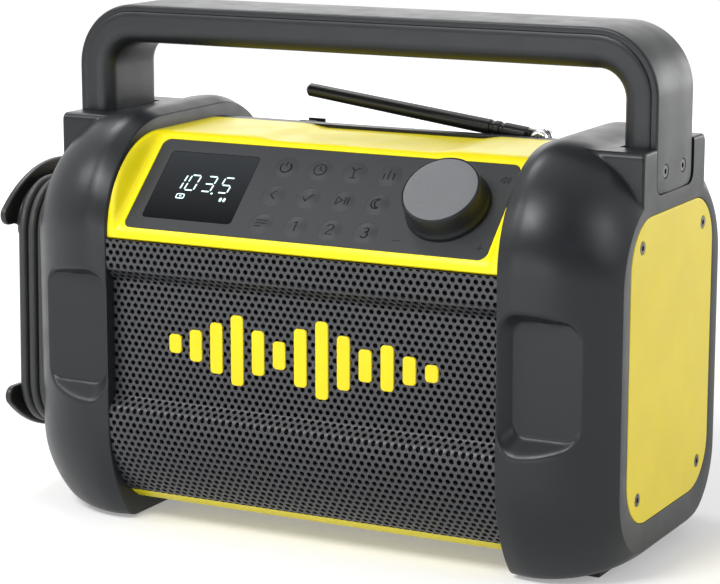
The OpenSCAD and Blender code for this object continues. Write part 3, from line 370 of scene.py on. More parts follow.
def even_shading(obj):
    """Smooth shading in which the large faces stay flat."""
    obj.data.shade_smooth()
    obj.data.set_sharp_from_angle(angle=math.radians(48))
    even = obj.modifiers.new("even_shading", "WEIGHTED_NORMAL")
    even.mode = "FACE_AREA"
    even.weight = 100
    even.keep_sharp = True
    return finished(obj)


def softened(node, material, width_mm, segments=3, angle=32):
    """A copy of a CAD node with its edges rounded, which stands for the node."""
    mesh = NODES[node].data.copy()
    flat = math.radians(0.5)
    with editing(mesh) as bm:
        bmesh.ops.remove_doubles(bm, verts=bm.verts, dist=WELD)
        bmesh.ops.dissolve_limit(bm, angle_limit=flat, verts=bm.verts, edges=bm.edges)
    obj = place_mesh(node + "_dressed", mesh, material, angle)
    return stands_for(even_shading(round_edges(obj, width_mm, segments, angle)), node)


def tube_rings(rings):
    """Vertices and faces of a skin over rings of equal count, closed at both ends."""
    count = len(rings[0])
    verts = [p for ring in rings for p in ring]
    faces = []
    for i in range(len(rings) - 1):
        for j in range(count):
            k = (j + 1) % count
            faces.append((i * count + j, i * count + k, (i + 1) * count + k, (i + 1) * count + j))
    faces.append(tuple(reversed(range(count))))
    faces.append(tuple(range((len(rings) - 1) * count, len(rings) * count)))
    return verts, faces


def skin(name, rings):
    return mesh_from(name, *tube_rings(rings))


def arc(centre, r, a0, a1, count):
    """Points on an arc, angles in degrees."""
    angles = [math.radians(a0 + (a1 - a0) * i / count) for i in range(count + 1)]
    return [(centre[0] + r * math.cos(a), centre[1] + r * math.sin(a)) for a in angles]


def circle(centre, r, sides):
    return arc(centre, r, 0, 360 - 360 / sides, sides - 1)


def spun(name, profile, spot, material, sides):
    """A turned shape on the control panel: profile points are (radius, height out of the panel)."""
    rings = [[on_panel(x, u, w) for x, u in circle(spot, r, sides)] for r, w in profile]
    return place_mesh(name, skin(name, rings), material, 40)


def poly_curve(name, lines):
    """Curve data with a line of straight pieces through each list of points, in metres."""
    curve = bpy.data.curves.new(name, "CURVE")
    curve.dimensions = "3D"
    for line in lines:
        spline = curve.splines.new("POLY")
        spline.points.add(len(line) - 1)
        for point, place in zip(spline.points, line):
            point.co = (*place, 1)
    return curve


def cut(obj, *tools):
    """Cuts the tools' meshes out of an object."""
    for mesh in tools:
        tool = new_object("tool", mesh)
        boolean = obj.modifiers.new("cut", "BOOLEAN")
        boolean.operation = "DIFFERENCE"
        boolean.solver = "EXACT"
        boolean.object = tool
        finished(obj)
        bpy.data.objects.remove(tool)
    return obj


# Power cord: wound around the two saddles, then a tail that turns over to the plug
CORD_R = 2.5
CORD_PITCH = 5.5
CORD_TURNS = 4
CORD_HALF = 41.3
CORD_LOW = 33.2
CORD_HIGH = 153.8
CORD_CORNER = 22.8
CORD_X = -153.1
CORD_OUT_X = CORD_X - CORD_TURNS * CORD_PITCH
RELIEF_TOP = 84.0
PLUG_X = -158.5
PLUG_TOP = 94.1
TAIL_Z = 101.0
TAIL_R = CORD_HALF / 2


def cord_route():
    """The cord's middle line, by the same formula as its solid."""
    run_z = CORD_HIGH - CORD_LOW - 2 * CORD_CORNER
    run_y = 2 * CORD_HALF - 2 * CORD_CORNER
    quarter = CORD_CORNER * math.pi / 2
    turn_length = 2 * run_z + 2 * run_y + 4 * quarter
    start = RELIEF_TOP - CORD_LOW - CORD_CORNER
    side, top, low = CORD_HALF - CORD_CORNER, CORD_HIGH - CORD_CORNER, CORD_LOW + CORD_CORNER
    corners = [(side, top), (-side, top), (-side, low), (side, low)]
    begins = [run_z, run_z + quarter + run_y]
    begins += [turn_length / 2 + begin for begin in begins]
    route = [(CORD_X, CORD_HALF, RELIEF_TOP)]
    corner_steps = 10
    for turn in range(CORD_TURNS):
        for corner, (y, z) in enumerate(corners):
            for i in range(corner_steps + 1):
                a = math.radians(90 * (corner + i / corner_steps))
                s = turn * turn_length + begins[corner] + quarter * i / corner_steps
                x = CORD_X - CORD_PITCH * (s - start) / turn_length
                route.append((x, y + CORD_CORNER * math.cos(a), z + CORD_CORNER * math.sin(a)))
    tail_steps = 20
    for i in range(tail_steps + 1):
        a = 180 * i / tail_steps
        t = max(0.0, (a - 45) / 135)
        x = CORD_OUT_X + (PLUG_X - CORD_OUT_X) * t * t * (3 - 2 * t)
        y = TAIL_R + TAIL_R * math.cos(math.radians(a))
        route.append((x, y, TAIL_Z + TAIL_R * math.sin(math.radians(a))))
    route.append((PLUG_X, 0, PLUG_TOP))
    return [at(*p) for p in route]


def make_cord():
    route = cord_route()
    sides = 14
    rings = []
    lengths = [0.0]
    for i, point in enumerate(route):
        ahead = (route[min(i + 1, len(route) - 1)] - route[max(i - 1, 0)]).normalized()
        across = ahead.cross(Vector((1, 0, 0))).normalized()
        other = ahead.cross(across)
        turns = [2 * math.pi * j / sides for j in range(sides)]
        rings.append([point + CORD_R * MM * (math.cos(a) * across + math.sin(a) * other) for a in turns])
        if i:
            lengths.append(lengths[-1] + (point - route[i - 1]).length)
    mesh = mesh_from("power_cord_dressed", *tube_rings(rings), merge=False)
    along = mesh.uv_layers.new(name="along")
    for loop in mesh.loops:
        ring, j = divmod(loop.vertex_index, sides)
        along.data[loop.index].uv = (lengths[ring] / MM, j / sides)
    cord = place_mesh("power_cord_dressed", mesh, CORD, 60)
    stands_for(cord, "power_cord")
    return cord, route, lengths[-1]


CORD_PIECE, CORD_ROUTE, CORD_LENGTH = make_cord()
PLUG = softened("power_plug", BLACK_PLASTIC, 1.2)


# End caps: a skin over rings along x, with the boss, the handle's pocket and the front recess drawn into it
RING_Z = 97.0
CAP_HALF = 81.0
CAP_HALF_DRAW = 22.0
CAP_LOW = 0.9
CAP_LOW_DRAW = 9.0
CAP_TOP = 194.0
CAP_TOP_DRAW = 24.0
CAP_TOP_R = 52.0
CAP_TOP_R_DRAW = 14.0
LIP_START = 99.6
LIP_EDGE = 106.4
LIP_END = 111.0
LIP_FALL = 2.9
LIP_REST = 0.45
ROUND_START = 108.0
ROUND_RUN = 42.0
ROUND_BEND = 0.87
BASE_R = 72.0
BASE_R_DRAW = 40.0
BASE_RISE = 48.8
BASE_EDGE = 4.0
BOSS_HALF = 38.4
BOSS_TOP = 190.7
BOSS_EDGE = 1.5
POCKET_X = 132.35
POCKET_HALF = 23.15
POCKET_Z = 169.85
POCKET_R = 6.15
RIM_HALF = 23.9
RIM_TURN = math.radians(33)
PANEL_SEAT = (50.65, 23.85, 162.15, 23.0)
FRONT_SHARES = [1, 0.98, 0.95, 0.91, 0.87, 0.82, 0.745, 0.4]
TOP_SHARES = FRONT_SHARES + [0] + [-share for share in reversed(FRONT_SHARES)]
RECESS_MOUTH = (98.3, 140, 60.2, 125.3, 11)
RECESS_FLOOR = (104.9, 136.4, 68.4, 120, 7)
RECESS_OUT = -82.0
RECESS_DEEP = -72.5
RECESS_EDGE = 1.6
RECESS_TURN = 1.6
RECESS_SPREAD = 0.8
FINE_FROM = 127.4
LEAD_STEPS = 6


def steps(first, last, size):
    """Even places from first up to, but not at, last, about this far apart."""
    count = max(1, round((last - first) / size))
    return [first + (last - first) * i / count for i in range(count)]


BOSS_TURNS = steps(19, 33, 0.3) + steps(33, 50, 1.5)
BASE_TURNS = steps(135, 162, 0.9) + steps(162, 180, 3)
FRONT_TURNS = BOSS_TURNS + steps(50, 135, 0.65) + BASE_TURNS
REAR_TURNS = BOSS_TURNS + steps(50, 135, 2.2) + BASE_TURNS


def smooth_max(a, b, fillet):
    """The larger of two values, with a fillet where they meet."""
    return max(a, b) + max(fillet - abs(a - b), 0.0) ** 2 / (4 * fillet)


def outline_reach(turn, half, low, high, r_low, r_high):
    """How far a rounded outline lies from the ring's middle, at a turn from straight up."""
    across, up = abs(math.sin(turn)), math.cos(turn)
    edge, r = (high - RING_Z, r_high) if up > 0 else (RING_Z - low, r_low)
    up = abs(up)
    if across * (edge - r) >= up * half:
        return half / across
    if up * (half - r) >= across * edge:
        return edge / up
    b = across * (half - r) + up * (edge - r)
    return b + math.sqrt(max(0.0, b * b - (half - r) ** 2 - (edge - r) ** 2 + r * r))


def base_reach(turn, half, low, r, start):
    """Below the ring's middle: a straight side down to a height, an arc, and the flat base that cuts it."""
    across, down = max(1e-6, abs(math.sin(turn))), max(1e-6, -math.cos(turn))
    side = half / across
    if down * side <= RING_Z - start:
        return side
    b = across * (half - r) + down * (RING_Z - start)
    curve = b + math.sqrt(max(0.0, b * b - (half - r) ** 2 - (RING_Z - start) ** 2 + r * r))
    if across * curve < half - r:
        curve = (RING_Z - start + r) / down
    return -smooth_max(-curve, -(RING_Z - low) / down, BASE_EDGE)


def cap_reach(x, turn):
    """The cap's pillow shape, with its boss, at a place along x."""
    fall = LIP_REST * (max(0.0, LIP_END - max(x, LIP_EDGE)) / (LIP_END - LIP_EDGE)) ** 2
    if x < LIP_EDGE:
        fall += (LIP_FALL - LIP_REST) * ((LIP_EDGE - x) / (LIP_EDGE - LIP_START)) ** 1.15
    bend = ROUND_BEND * max(0.0, x - ROUND_START) / ROUND_RUN
    k = (1 - math.sqrt(1 - bend**2)) / (1 - math.sqrt(1 - ROUND_BEND**2))
    half, low = CAP_HALF - 0.6 * fall - CAP_HALF_DRAW * k, CAP_LOW + CAP_LOW_DRAW * k
    if math.cos(turn) < 0:
        base_r = BASE_R - BASE_R_DRAW * k
        rise = BASE_RISE + (BASE_R - BASE_R_DRAW - BASE_RISE) * k
        return base_reach(turn, half, low, base_r, low + rise)
    top, top_r = CAP_TOP - fall - CAP_TOP_DRAW * k, CAP_TOP_R - CAP_TOP_R_DRAW * k
    pillow = outline_reach(turn, half, low, top, top_r, top_r)
    if math.cos(turn) < 0.5 or x < LIP_END:
        return pillow
    over = max(0.0, x - (SIDE_X - BOSS_EDGE))
    inset = BOSS_EDGE - math.sqrt(max(0.0, BOSS_EDGE**2 - over**2))
    boss = outline_reach(turn, BOSS_HALF - inset, 0, BOSS_TOP - inset, 1, 3)
    return smooth_max(pillow, boss, 1.2)


def outside_of(x, z, x0, x1, z0, z1, r):
    """How far a point lies outside a rounded rectangle, below zero inside."""
    dx = abs(x - (x0 + x1) / 2) - (x1 - x0) / 2 + r
    dz = abs(z - (z0 + z1) / 2) - (z1 - z0) / 2 + r
    return math.hypot(max(dx, 0), max(dz, 0)) + min(max(dx, dz), 0) - r


def recess_y(x, z):
    """The front recess: its floor, its leaning walls, or a plane far out in front where there is none."""
    mouth = outside_of(x, z, *RECESS_MOUTH)
    floor = outside_of(x, z, *RECESS_FLOOR)
    if mouth >= 0:
        return RECESS_OUT - 3 * mouth
    if floor <= 0:
        return RECESS_DEEP
    return RECESS_OUT + (RECESS_DEEP - RECESS_OUT) * mouth / (mouth - floor)


def edge_turn(x):
    """The turn at which the cap's top meets the side of the handle's pocket."""
    turn = 0.26
    for _ in range(5):
        turn = math.asin(POCKET_HALF / cap_reach(x, turn))
    return turn


def ring_turns(first, turns):
    """The turns of half a ring, in radians, led up to from the pocket's edge."""
    run = math.radians(turns[0]) - first
    lead = [first + run * i / LEAD_STEPS for i in range(LEAD_STEPS)]
    return lead + [math.radians(t) for t in turns]


def cap_ring(x, pocket):
    """Points (y, z) down the front, up the rear and over the top or along the pocket's floor."""
    first = edge_turn(x)
    ring = []
    for turn in ring_turns(first, FRONT_TURNS) + [math.pi]:
        reach = cap_reach(x, turn)
        y, z = -reach * math.sin(turn), RING_Z + reach * math.cos(turn)
        if abs(turn - RECESS_TURN) < RECESS_SPREAD:
            y = smooth_max(y, recess_y(x, z), RECESS_EDGE)
        ring.append((y, z))
    for turn in reversed(ring_turns(first, REAR_TURNS)):
        reach = cap_reach(x, turn)
        ring.append((reach * math.sin(turn), RING_Z + reach * math.cos(turn)))
    for share in TOP_SHARES:
        y = share * POCKET_HALF
        if pocket:
            over = max(0.0, abs(y) - POCKET_HALF + POCKET_R)
            ring.append((y, POCKET_Z + POCKET_R - math.sqrt(max(0.0, POCKET_R**2 - over**2))))
        else:
            turn = abs(share) * first
            for _ in range(4):
                turn = math.asin(abs(y) / cap_reach(x, turn))
            ring.append((y, RING_Z + cap_reach(x, turn) * math.cos(turn)))
    return ring


def seat_ring(grow):
    """The side panel's seat, with a point for each point of a ring."""
    first = edge_turn(SIDE_X)
    half, low, high, r = PANEL_SEAT
    rim = math.atan2(RIM_HALF, high - RING_Z)

    def point(turn, side):
        if turn < RIM_TURN:
            turn = rim + (turn - first) * (RIM_TURN - rim) / (RIM_TURN - first)
        reach = outline_reach(turn, half + grow, low - grow, high + grow, r + grow, r + grow)
        return side * reach * math.sin(turn), RING_Z + reach * math.cos(turn)

    ring = [point(turn, -1) for turn in ring_turns(first, FRONT_TURNS) + [math.pi]]
    ring += [point(turn, 1) for turn in reversed(ring_turns(first, REAR_TURNS))]
    return ring + [(share * RIM_HALF, high + grow) for share in TOP_SHARES]


def drawn_ring(ring, share):
    """A ring drawn in towards its middle by a share of its size."""
    return [(y * (1 - share), RING_Z + (z - RING_Z) * (1 - share)) for y, z in ring]


def end_cap(side):
    """A cap on one side: the step at its lip, its dome, its flat rim and the side panel's seat."""
    outer = [ROUND_START + ROUND_RUN * math.sin(math.radians(a)) for a in steps(34, 90, 1.6)] + [SIDE_X]
    xs = steps(LIP_START + 0.4, LIP_EDGE, 0.3) + steps(LIP_EDGE, LIP_END, 0.8)
    xs += steps(LIP_END, FINE_FROM, 1.7) + steps(FINE_FROM, outer[0], 0.45)
    plan = [(x, False) for x in xs + [o for o in outer if o < POCKET_X]]
    plan += [(POCKET_X, False), (POCKET_X, True)] + [(x, True) for x in outer if x > POCKET_X]
    plan.sort()
    lip = ((LIP_START, 0.1), (LIP_START, 0.006), (LIP_START + 0.12, 0.002))
    rings = [(x, drawn_ring(cap_ring(x, False), drawn_in)) for x, drawn_in in lip]
    rings += [(x, cap_ring(x, pocket)) for x, pocket in plan]
    rings.append((SIDE_X, drawn_ring(cap_ring(SIDE_X, True), 0.006)))
    seat = ((SIDE_X, 0.6), (SIDE_X - 0.15, 0.15), (SIDE_X - 0.6, 0), (SIDE_X - 2.55, 0))
    rings += [(x, seat_ring(grow)) for x, grow in seat]
    name = ("right" if side > 0 else "left") + "_end_cap"
    mesh = skin(name, [[at(side * x, y, z) for y, z in ring] for x, ring in rings])
    stands_for(place_mesh(name + "_dressed", mesh, CHARCOAL, 50), name)


end_cap(-1)
end_cap(1)
softened("left_side_panel", YELLOW_SIDE, 0.5)
softened("right_side_panel", YELLOW_SIDE, 0.5)
softened("feet", RUBBER, 0.7)


# Handle: a frame and a band, both drawn along the arch between its outer and inner line
HANDLE_HALF = 23.0
HANDLE_TOP = 242.5
BAR_T = 18.5
BAND_HALF = 22.2
BAND_T = 3.0
LEG_OUT = 149.5
LEG_IN = 132.5
LEG_END = 170.0
LEG_CORNER = 6.0
ARCH_R = 30.0
GRIP_R = 13.0
HANDLE_SCREW_Z = 179.5
HANDLE_SCREW_Y = 10.7
BORE_SIDES = 40


def handle_stations():
    """Pairs of points (x, z) on the outer and the inner line, from the right leg's end to the left one's."""
    corner = [LEG_END + LEG_CORNER * (1 - math.cos(math.radians(a))) for a in range(0, 91, 15)]
    half = [((LEG_OUT, z), (LEG_IN, z)) for z in corner + [190, 205]]
    outer_arc = arc((LEG_OUT - ARCH_R, HANDLE_TOP - ARCH_R), ARCH_R, 0, 90, 18)
    inner_arc = arc((LEG_IN - GRIP_R, HANDLE_TOP - BAR_T - GRIP_R), GRIP_R, 0, 90, 18)
    half += list(zip(outer_arc, inner_arc))
    half += [((x, HANDLE_TOP), (x, HANDLE_TOP - BAR_T)) for x in (100, 60, 20)]
    return half + [((-ox, oz), (-ix, iz)) for (ox, oz), (ix, iz) in reversed(half)]


def handle_skin(name, section):
    """A skin along the arch: section(thickness) gives points (y, depth from the outer line)."""
    rings = []
    for (ox, oz), (ix, iz) in handle_stations():
        thick = math.hypot(ix - ox, iz - oz)
        over = max(0.0, LEG_END + LEG_CORNER - oz)
        half = HANDLE_HALF - LEG_CORNER + math.sqrt(max(0.0, LEG_CORNER**2 - over**2))
        ring = []
        for y, depth in section(thick):
            t = depth / thick
            ring.append(at(ox + (ix - ox) * t, y * half / HANDLE_HALF, oz + (iz - oz) * t))
        rings.append(ring)
    return place_mesh(name, skin(name, rings), HANDLE_GREY, 50)


def frame_section(thick):
    """The frame: a fine groove beside the band, flat sides and well rounded inner edges."""
    inner_r = 7.5
    groove = [(-1.4, 3.05), (-0.9, 3.9), (-0.65, 3.9), (-0.5, 3.35), (-0.25, 3.3), (0, 3.6)]
    side = [(HANDLE_HALF + y, d) for y, d in groove + [(0, 6), (0, 8.5)]]
    side += arc((HANDLE_HALF - inner_r, thick - inner_r), inner_r, 0, 90, 9)
    return [(-y, d) for y, d in side] + [(-6, thick), (6, thick)] + list(reversed(side))


def band_section(thick):
    """The band: a thin strip with rounded edges, the same along the whole arch."""
    edge = [(0, BAND_T), (0, 1.2), (-0.1, 0.7), (-0.4, 0.3), (-0.9, 0.08), (-1.6, 0)]
    side = [(BAND_HALF + y, d) for y, d in edge]
    return [(-y, d) for y, d in side] + [(-8, 0), (8, 0)] + list(reversed(side))


def handle():
    """Frame and band, with countersunk bores in the band for its screws."""
    stands_for(handle_skin("handle_frame_dressed", frame_section), "handle_frame")
    band = handle_skin("handle_band_dressed", band_section)
    for side in (-1, 1):
        for y in (-HANDLE_SCREW_Y, HANDLE_SCREW_Y):
            rings = []
            for x, r in ((146.0, 3.1), (149.2, 3.1), (151.0, 4.6)):
                ring = circle((y, HANDLE_SCREW_Z), r, BORE_SIDES)
                rings.append([at(side * x, py, pz) for py, pz in ring])
            cut(band, skin("bore", rings))
    stands_for(band, "handle_band")


handle()


# Core: over the control panel the front shell is a surface of heights above the panel's plane
LIP_LOW = 139.65
LIP_R = 1.0
SHELL_EDGE = 3.6
SCOOP = [(93.0, 0), (93.6, 0.06), (94.3, 0.3), (95.1, 0.85), (95.85, 1.8), (96.5, 3.2)]
SCOOP += [(99.2, 12.5), (100, 16)]
DIP = (-47.0, -35.0, 45.0, 57.0)
DIP_DEPTH = 1.6
FOOT_CENTRE = (-27.5, 53)
FOOT_R = 50.0
STRIP_R = 50.4


def smooth_step(value, low, high):
    t = min(1.0, max(0.0, (value - low) / (high - low)))
    return t * t * (3 - 2 * t)


def core_height(u):
    """Height of the core's plain outline: its front wall, its rounded top edge and its flat top."""
    c, s = math.cos(PANEL_TILT), math.sin(PANEL_TILT)
    dy, dz = CORE_FRONT + CORE_TOP_R - PANEL_FOOT[0], CORE_TOP - CORE_TOP_R - PANEL_FOOT[1]
    arc_u, arc_w = dy * c + dz * s, dz * c - dy * s
    if u < arc_u - CORE_TOP_R * c:
        return arc_w + CORE_TOP_R * s + (u - arc_u + CORE_TOP_R * c) * c / s
    if u > arc_u + CORE_TOP_R * s:
        return arc_w + CORE_TOP_R * c - (u - arc_u - CORE_TOP_R * s) * s / c
    return arc_w + math.sqrt(CORE_TOP_R**2 - (u - arc_u) ** 2)


def scoop_height(x):
    """Height of the panel's surround: flat, with ends that curve up to the caps."""
    x = abs(x)
    for (x0, w0), (x1, w1) in zip(SCOOP, SCOOP[1:]):
        if x < x1:
            return w0 + (w1 - w0) * max(0.0, x - x0) / (x1 - x0)
    return SCOOP[-1][1]


def shell_section(x):
    """The shell's section at x as points (y, z), from under its lip over the crest and back inside."""
    section = [(-70, LIP_LOW), (-74, LIP_LOW)]
    section += arc((CORE_FRONT + LIP_R, LIP_LOW + LIP_R), LIP_R, 270, 180, 5)
    c, s = math.cos(PANEL_TILT), math.sin(PANEL_TILT)
    us = steps(-4.6, 2, 0.4) + steps(2, 54, 2.6) + steps(54, 66, 0.5) + steps(66, 97.8, 2.6)
    dip = smooth_step(x, DIP[0], DIP[1]) * (1 - smooth_step(x, DIP[2], DIP[3]))
    for u in us:
        w = -smooth_max(-core_height(u), -scoop_height(x), SHELL_EDGE)
        y, z = PANEL_FOOT[0] + u * c - w * s, PANEL_FOOT[1] + u * s + w * c
        section.append((y, z - DIP_DEPTH * dip * smooth_step(y, -38, -24)))
    return section + [(SPLIT_Y, CORE_TOP - DIP_DEPTH * dip), (SPLIT_Y, CORE_TOP - 4), (-30, 160)]


def rounded_rectangle(x, u, half_x, half_u, r):
    """Points around a rectangle with round corners, from its lower right corner on."""
    corners = [(1, -1, -90), (1, 1, 0), (-1, 1, 90), (-1, -1, 180)]
    centres = [(x + sx * (half_x - r), u + su * (half_u - r), a) for sx, su, a in corners]
    return [p for cx, cu, a in centres for p in arc((cx, cu), r, a, a + 90, 8)]


def panel_slab(name, half, u0, u1, w0, w1, r):
    """A slab along the control panel with rounded corners."""
    outline = rounded_rectangle(0, (u0 + u1) / 2, half, (u1 - u0) / 2, r)
    rings = [[on_panel(x, u, w) for x, u in outline] for w in (w0, w1)]
    return skin(name, rings)


def front_shell():
    """The yellow shell with the control panel's bed cut into it, and the strip at the grille's foot."""
    right = steps(0, 92, 4) + steps(92, CORE_X, 0.3) + [CORE_X]
    xs = [-x for x in reversed(right[1:])] + right
    mesh = skin("shell", [[at(x, y, z) for y, z in shell_section(x)] for x in xs])
    shell = place_mesh("front_shell_dressed", mesh, YELLOW)
    cut(
        shell, panel_slab("bed", PANEL_W / 2 + 0.15, -0.15, PANEL_U + 0.15, -2.25, 3, 4.15),
        panel_slab("window", PANEL_W / 2 - 5, 3, PANEL_U - 3, -30, 0, 4),
    )
    even_shading(shell)
    foot = [(SPLIT_Y, CORE_BASE)] + arc(FOOT_CENTRE, STRIP_R, 238.5, 227.4, 6)
    foot += [(-50, 17), (SPLIT_Y, 13)]
    strip = skin("strip", [[at(x, y, z) for y, z in foot] for x in (-CORE_X, CORE_X)])
    joins(place_mesh("front_strip", strip, YELLOW), "chassis")
    stands_for(shell, "front_shell")


front_shell()
softened("rear_shell", CHARCOAL, 0.2, 2)


# Grille: perforated cells in staggered rows, bent along the profile by geometry nodes
GRILLE_PITCH = 3.695
GRILLE_ROW = 3.167
CELL_POINTS = 12
GRILLE_ROWS = 43
GRILLE_HOLE = 1.22
GRILLE_T = 1.2
GRILLE_HALF = 100.85
GRILLE_COLUMNS = 57


def grille_profile():
    """Points (y, z) down the grille's face, from its top edge to its foot."""
    profile = [(-77.5, 139.5), (-77.5, 128.5)] + [(-77.3, 126.9), (-76.8, 125.6)]
    profile += [(-72.3, 121.2), (-71.8, 120.4), (-71.5, 119.0), (-71.5, 65.0)]
    profile += [(-71.8, 63.6), (-72.3, 62.8), (-76.6, 58.6), (-77.0, 57.8), (-77.3, 56.4)]
    return profile + arc(FOOT_CENTRE, FOOT_R, 180, 227, 24)


def grille_cell():
    """One cell of sheet with a round hole, its face at height zero."""
    px, py = GRILLE_PITCH / 2, GRILLE_ROW / 2
    border = [(px, 0), (px, py), (px / 2, py), (0, py), (-px / 2, py), (-px, py)]
    border += [(-x, -y) for x, y in border]
    hole = circle((0, 0), GRILLE_HOLE, CELL_POINTS)
    rings = [(border, -GRILLE_T), (border, 0), (hole, 0), (hole, -GRILLE_T)]
    verts = [(x * MM, y * MM, z * MM) for points, z in rings for x, y in points]
    faces = []
    for a, b in ((1, 2), (2, 3), (3, 0)):
        for j in range(CELL_POINTS):
            k = (j + 1) % CELL_POINTS
            faces.append(tuple(ring * CELL_POINTS + i for ring, i in ((a, j), (a, k), (b, k), (b, j))))
    mesh = bpy.data.meshes.new("grille_cell")
    mesh.from_pydata(verts, [], faces)
    return new_object("grille_cell", mesh)


class Tree:
    """A geometry node tree with named inputs, and short ways to add and join its nodes."""

    def __init__(self, name, inputs):
        self.tree = bpy.data.node_groups.new(name, "GeometryNodeTree")
        face = self.tree.interface
        face.new_socket("Geometry", in_out="INPUT", socket_type="NodeSocketGeometry")
        self.ids = {}
        for label, kind in inputs.items():
            self.ids[label] = face.new_socket(label, in_out="INPUT", socket_type=kind).identifier
        face.new_socket("Geometry", in_out="OUTPUT", socket_type="NodeSocketGeometry")
        self.start = self.tree.nodes.new("NodeGroupInput")
        self.end = self.tree.nodes.new("NodeGroupOutput")

    def add(self, kind, inputs=None, **settings):
        node = self.tree.nodes.new(kind)
        for key, value in settings.items():
            setattr(node, key, value)
        for key, value in (inputs or {}).items():
            feed(node.inputs[key], value)
        return node

    def math(self, operation, a, b=0.0):
        return self.add("ShaderNodeMath", {0: a, 1: b}, operation=operation).outputs[0]

    def vector(self, operation, a, b):
        return self.add("ShaderNodeVectorMath", {0: a, 1: b}, operation=operation).outputs[0]

    def position(self):
        return self.add("ShaderNodeSeparateXYZ", {0: self.add("GeometryNodeInputPosition").outputs[0]})

    def given(self, label):
        return self.start.outputs[label]


def grille_tree():
    """Cells on a staggered grid, clipped at the sides and bent along the profile curve."""
    tree = Tree("bent_grille", {
        "Cell": "NodeSocketObject", "Pitch": "NodeSocketFloat", "Row height": "NodeSocketFloat",
        "Columns": "NodeSocketInt", "Rows": "NodeSocketInt", "Half width": "NodeSocketFloat",
        "Middle": "NodeSocketFloat", "Finish": "NodeSocketMaterial",
    })
    pitch, row = tree.given("Pitch"), tree.given("Row height")
    columns, rows = tree.given("Columns"), tree.given("Rows")
    width = tree.math("MULTIPLY", pitch, tree.math("SUBTRACT", columns, 1.0))
    height = tree.math("MULTIPLY", row, tree.math("SUBTRACT", rows, 1.0))
    grid = tree.add("GeometryNodeMeshGrid", {
        "Size X": width, "Size Y": height, "Vertices X": columns, "Vertices Y": rows,
    })
    spot = tree.position()
    from_end = tree.math("ADD", spot.outputs["Y"], tree.math("MULTIPLY", height, 0.5))
    number = tree.math("ROUND", tree.math("DIVIDE", from_end, row))
    odd = tree.math("MODULO", number, 2.0)
    stagger = tree.math("MULTIPLY", tree.math("SUBTRACT", odd, 0.5), tree.math("MULTIPLY", pitch, 0.5))
    shift = tree.add("ShaderNodeCombineXYZ", {"X": stagger})
    points = tree.add("GeometryNodeSetPosition", {
        "Geometry": grid.outputs["Mesh"], "Offset": shift.outputs[0],
    })
    cell = tree.add("GeometryNodeObjectInfo", {"Object": tree.given("Cell")})
    cells = tree.add("GeometryNodeInstanceOnPoints", {
        "Points": points.outputs[0], "Instance": cell.outputs["Geometry"],
    })
    sheet = tree.add("GeometryNodeRealizeInstances", {"Geometry": cells.outputs[0]})

    place = tree.position()
    half = tree.given("Half width")
    across = tree.math("MINIMUM", place.outputs["X"], half)
    across = tree.math("MAXIMUM", across, tree.math("MULTIPLY", half, -1.0))
    along = tree.math("ADD", place.outputs["Y"], tree.math("MULTIPLY", height, 0.5))
    along = tree.math("MAXIMUM", tree.math("MINIMUM", along, height), 0.0)
    bend = tree.add(
        "GeometryNodeSampleCurve", {"Curves": tree.given("Geometry"), "Length": along}, mode="LENGTH"
    )
    out = tree.vector("CROSS_PRODUCT", (1, 0, 0), bend.outputs["Tangent"])
    lift = tree.add("ShaderNodeVectorMath", {0: out, "Scale": place.outputs["Z"]}, operation="SCALE")
    base = tree.vector("ADD", bend.outputs["Position"], lift.outputs[0])
    side = tree.add("ShaderNodeCombineXYZ", {"X": tree.math("ADD", across, tree.given("Middle"))})
    total = tree.vector("ADD", base, side.outputs[0])
    bent = tree.add("GeometryNodeSetPosition", {"Geometry": sheet.outputs[0], "Position": total})
    merged = tree.add("GeometryNodeMergeByDistance", {"Geometry": bent.outputs[0], "Distance": 10 * WELD})
    finish = tree.add("GeometryNodeSetMaterial", {
        "Geometry": merged.outputs[0], "Material": tree.given("Finish"),
    })
    tree.tree.links.new(finish.outputs[0], tree.end.inputs[0])
    return tree


def grille():
    """The perforated sheet, made by the node tree on the profile curve and kept as a plain mesh."""
    profile = grille_profile()
    curve = poly_curve("grille_profile", [[(0, y * MM, z * MM) for y, z in profile]])
    source = new_object("grille_profile", curve)
    cell = grille_cell()
    tree = grille_tree()
    modifier = source.modifiers.new("bent_grille", "NODES")
    modifier.node_group = tree.tree
    length = sum(math.dist(a, b) for a, b in zip(profile, profile[1:])) * MM
    values = {
        "Cell": cell, "Pitch": GRILLE_PITCH * MM, "Row height": length / GRILLE_ROWS,
        "Columns": GRILLE_COLUMNS, "Rows": GRILLE_ROWS + 1, "Half width": GRILLE_HALF * MM,
        "Middle": FRAME_SHIFT * MM, "Finish": GRILLE_GREY,
    }
    for label, value in values.items():
        modifier[tree.ids[label]] = value
    mesh = plain_mesh(source)
    bpy.data.objects.remove(source)
    bpy.data.objects.remove(cell)
    with editing(mesh) as bm:
        bmesh.ops.dissolve_degenerate(bm, edges=bm.edges, dist=WELD)
        bmesh.ops.recalc_face_normals(bm, faces=bm.faces)
    stands_for(place_mesh("grille_dressed", mesh, GRILLE_GREY, 35), "grille")


grille()
softened("grille_badge", YELLOW_SIDE, 0.5)


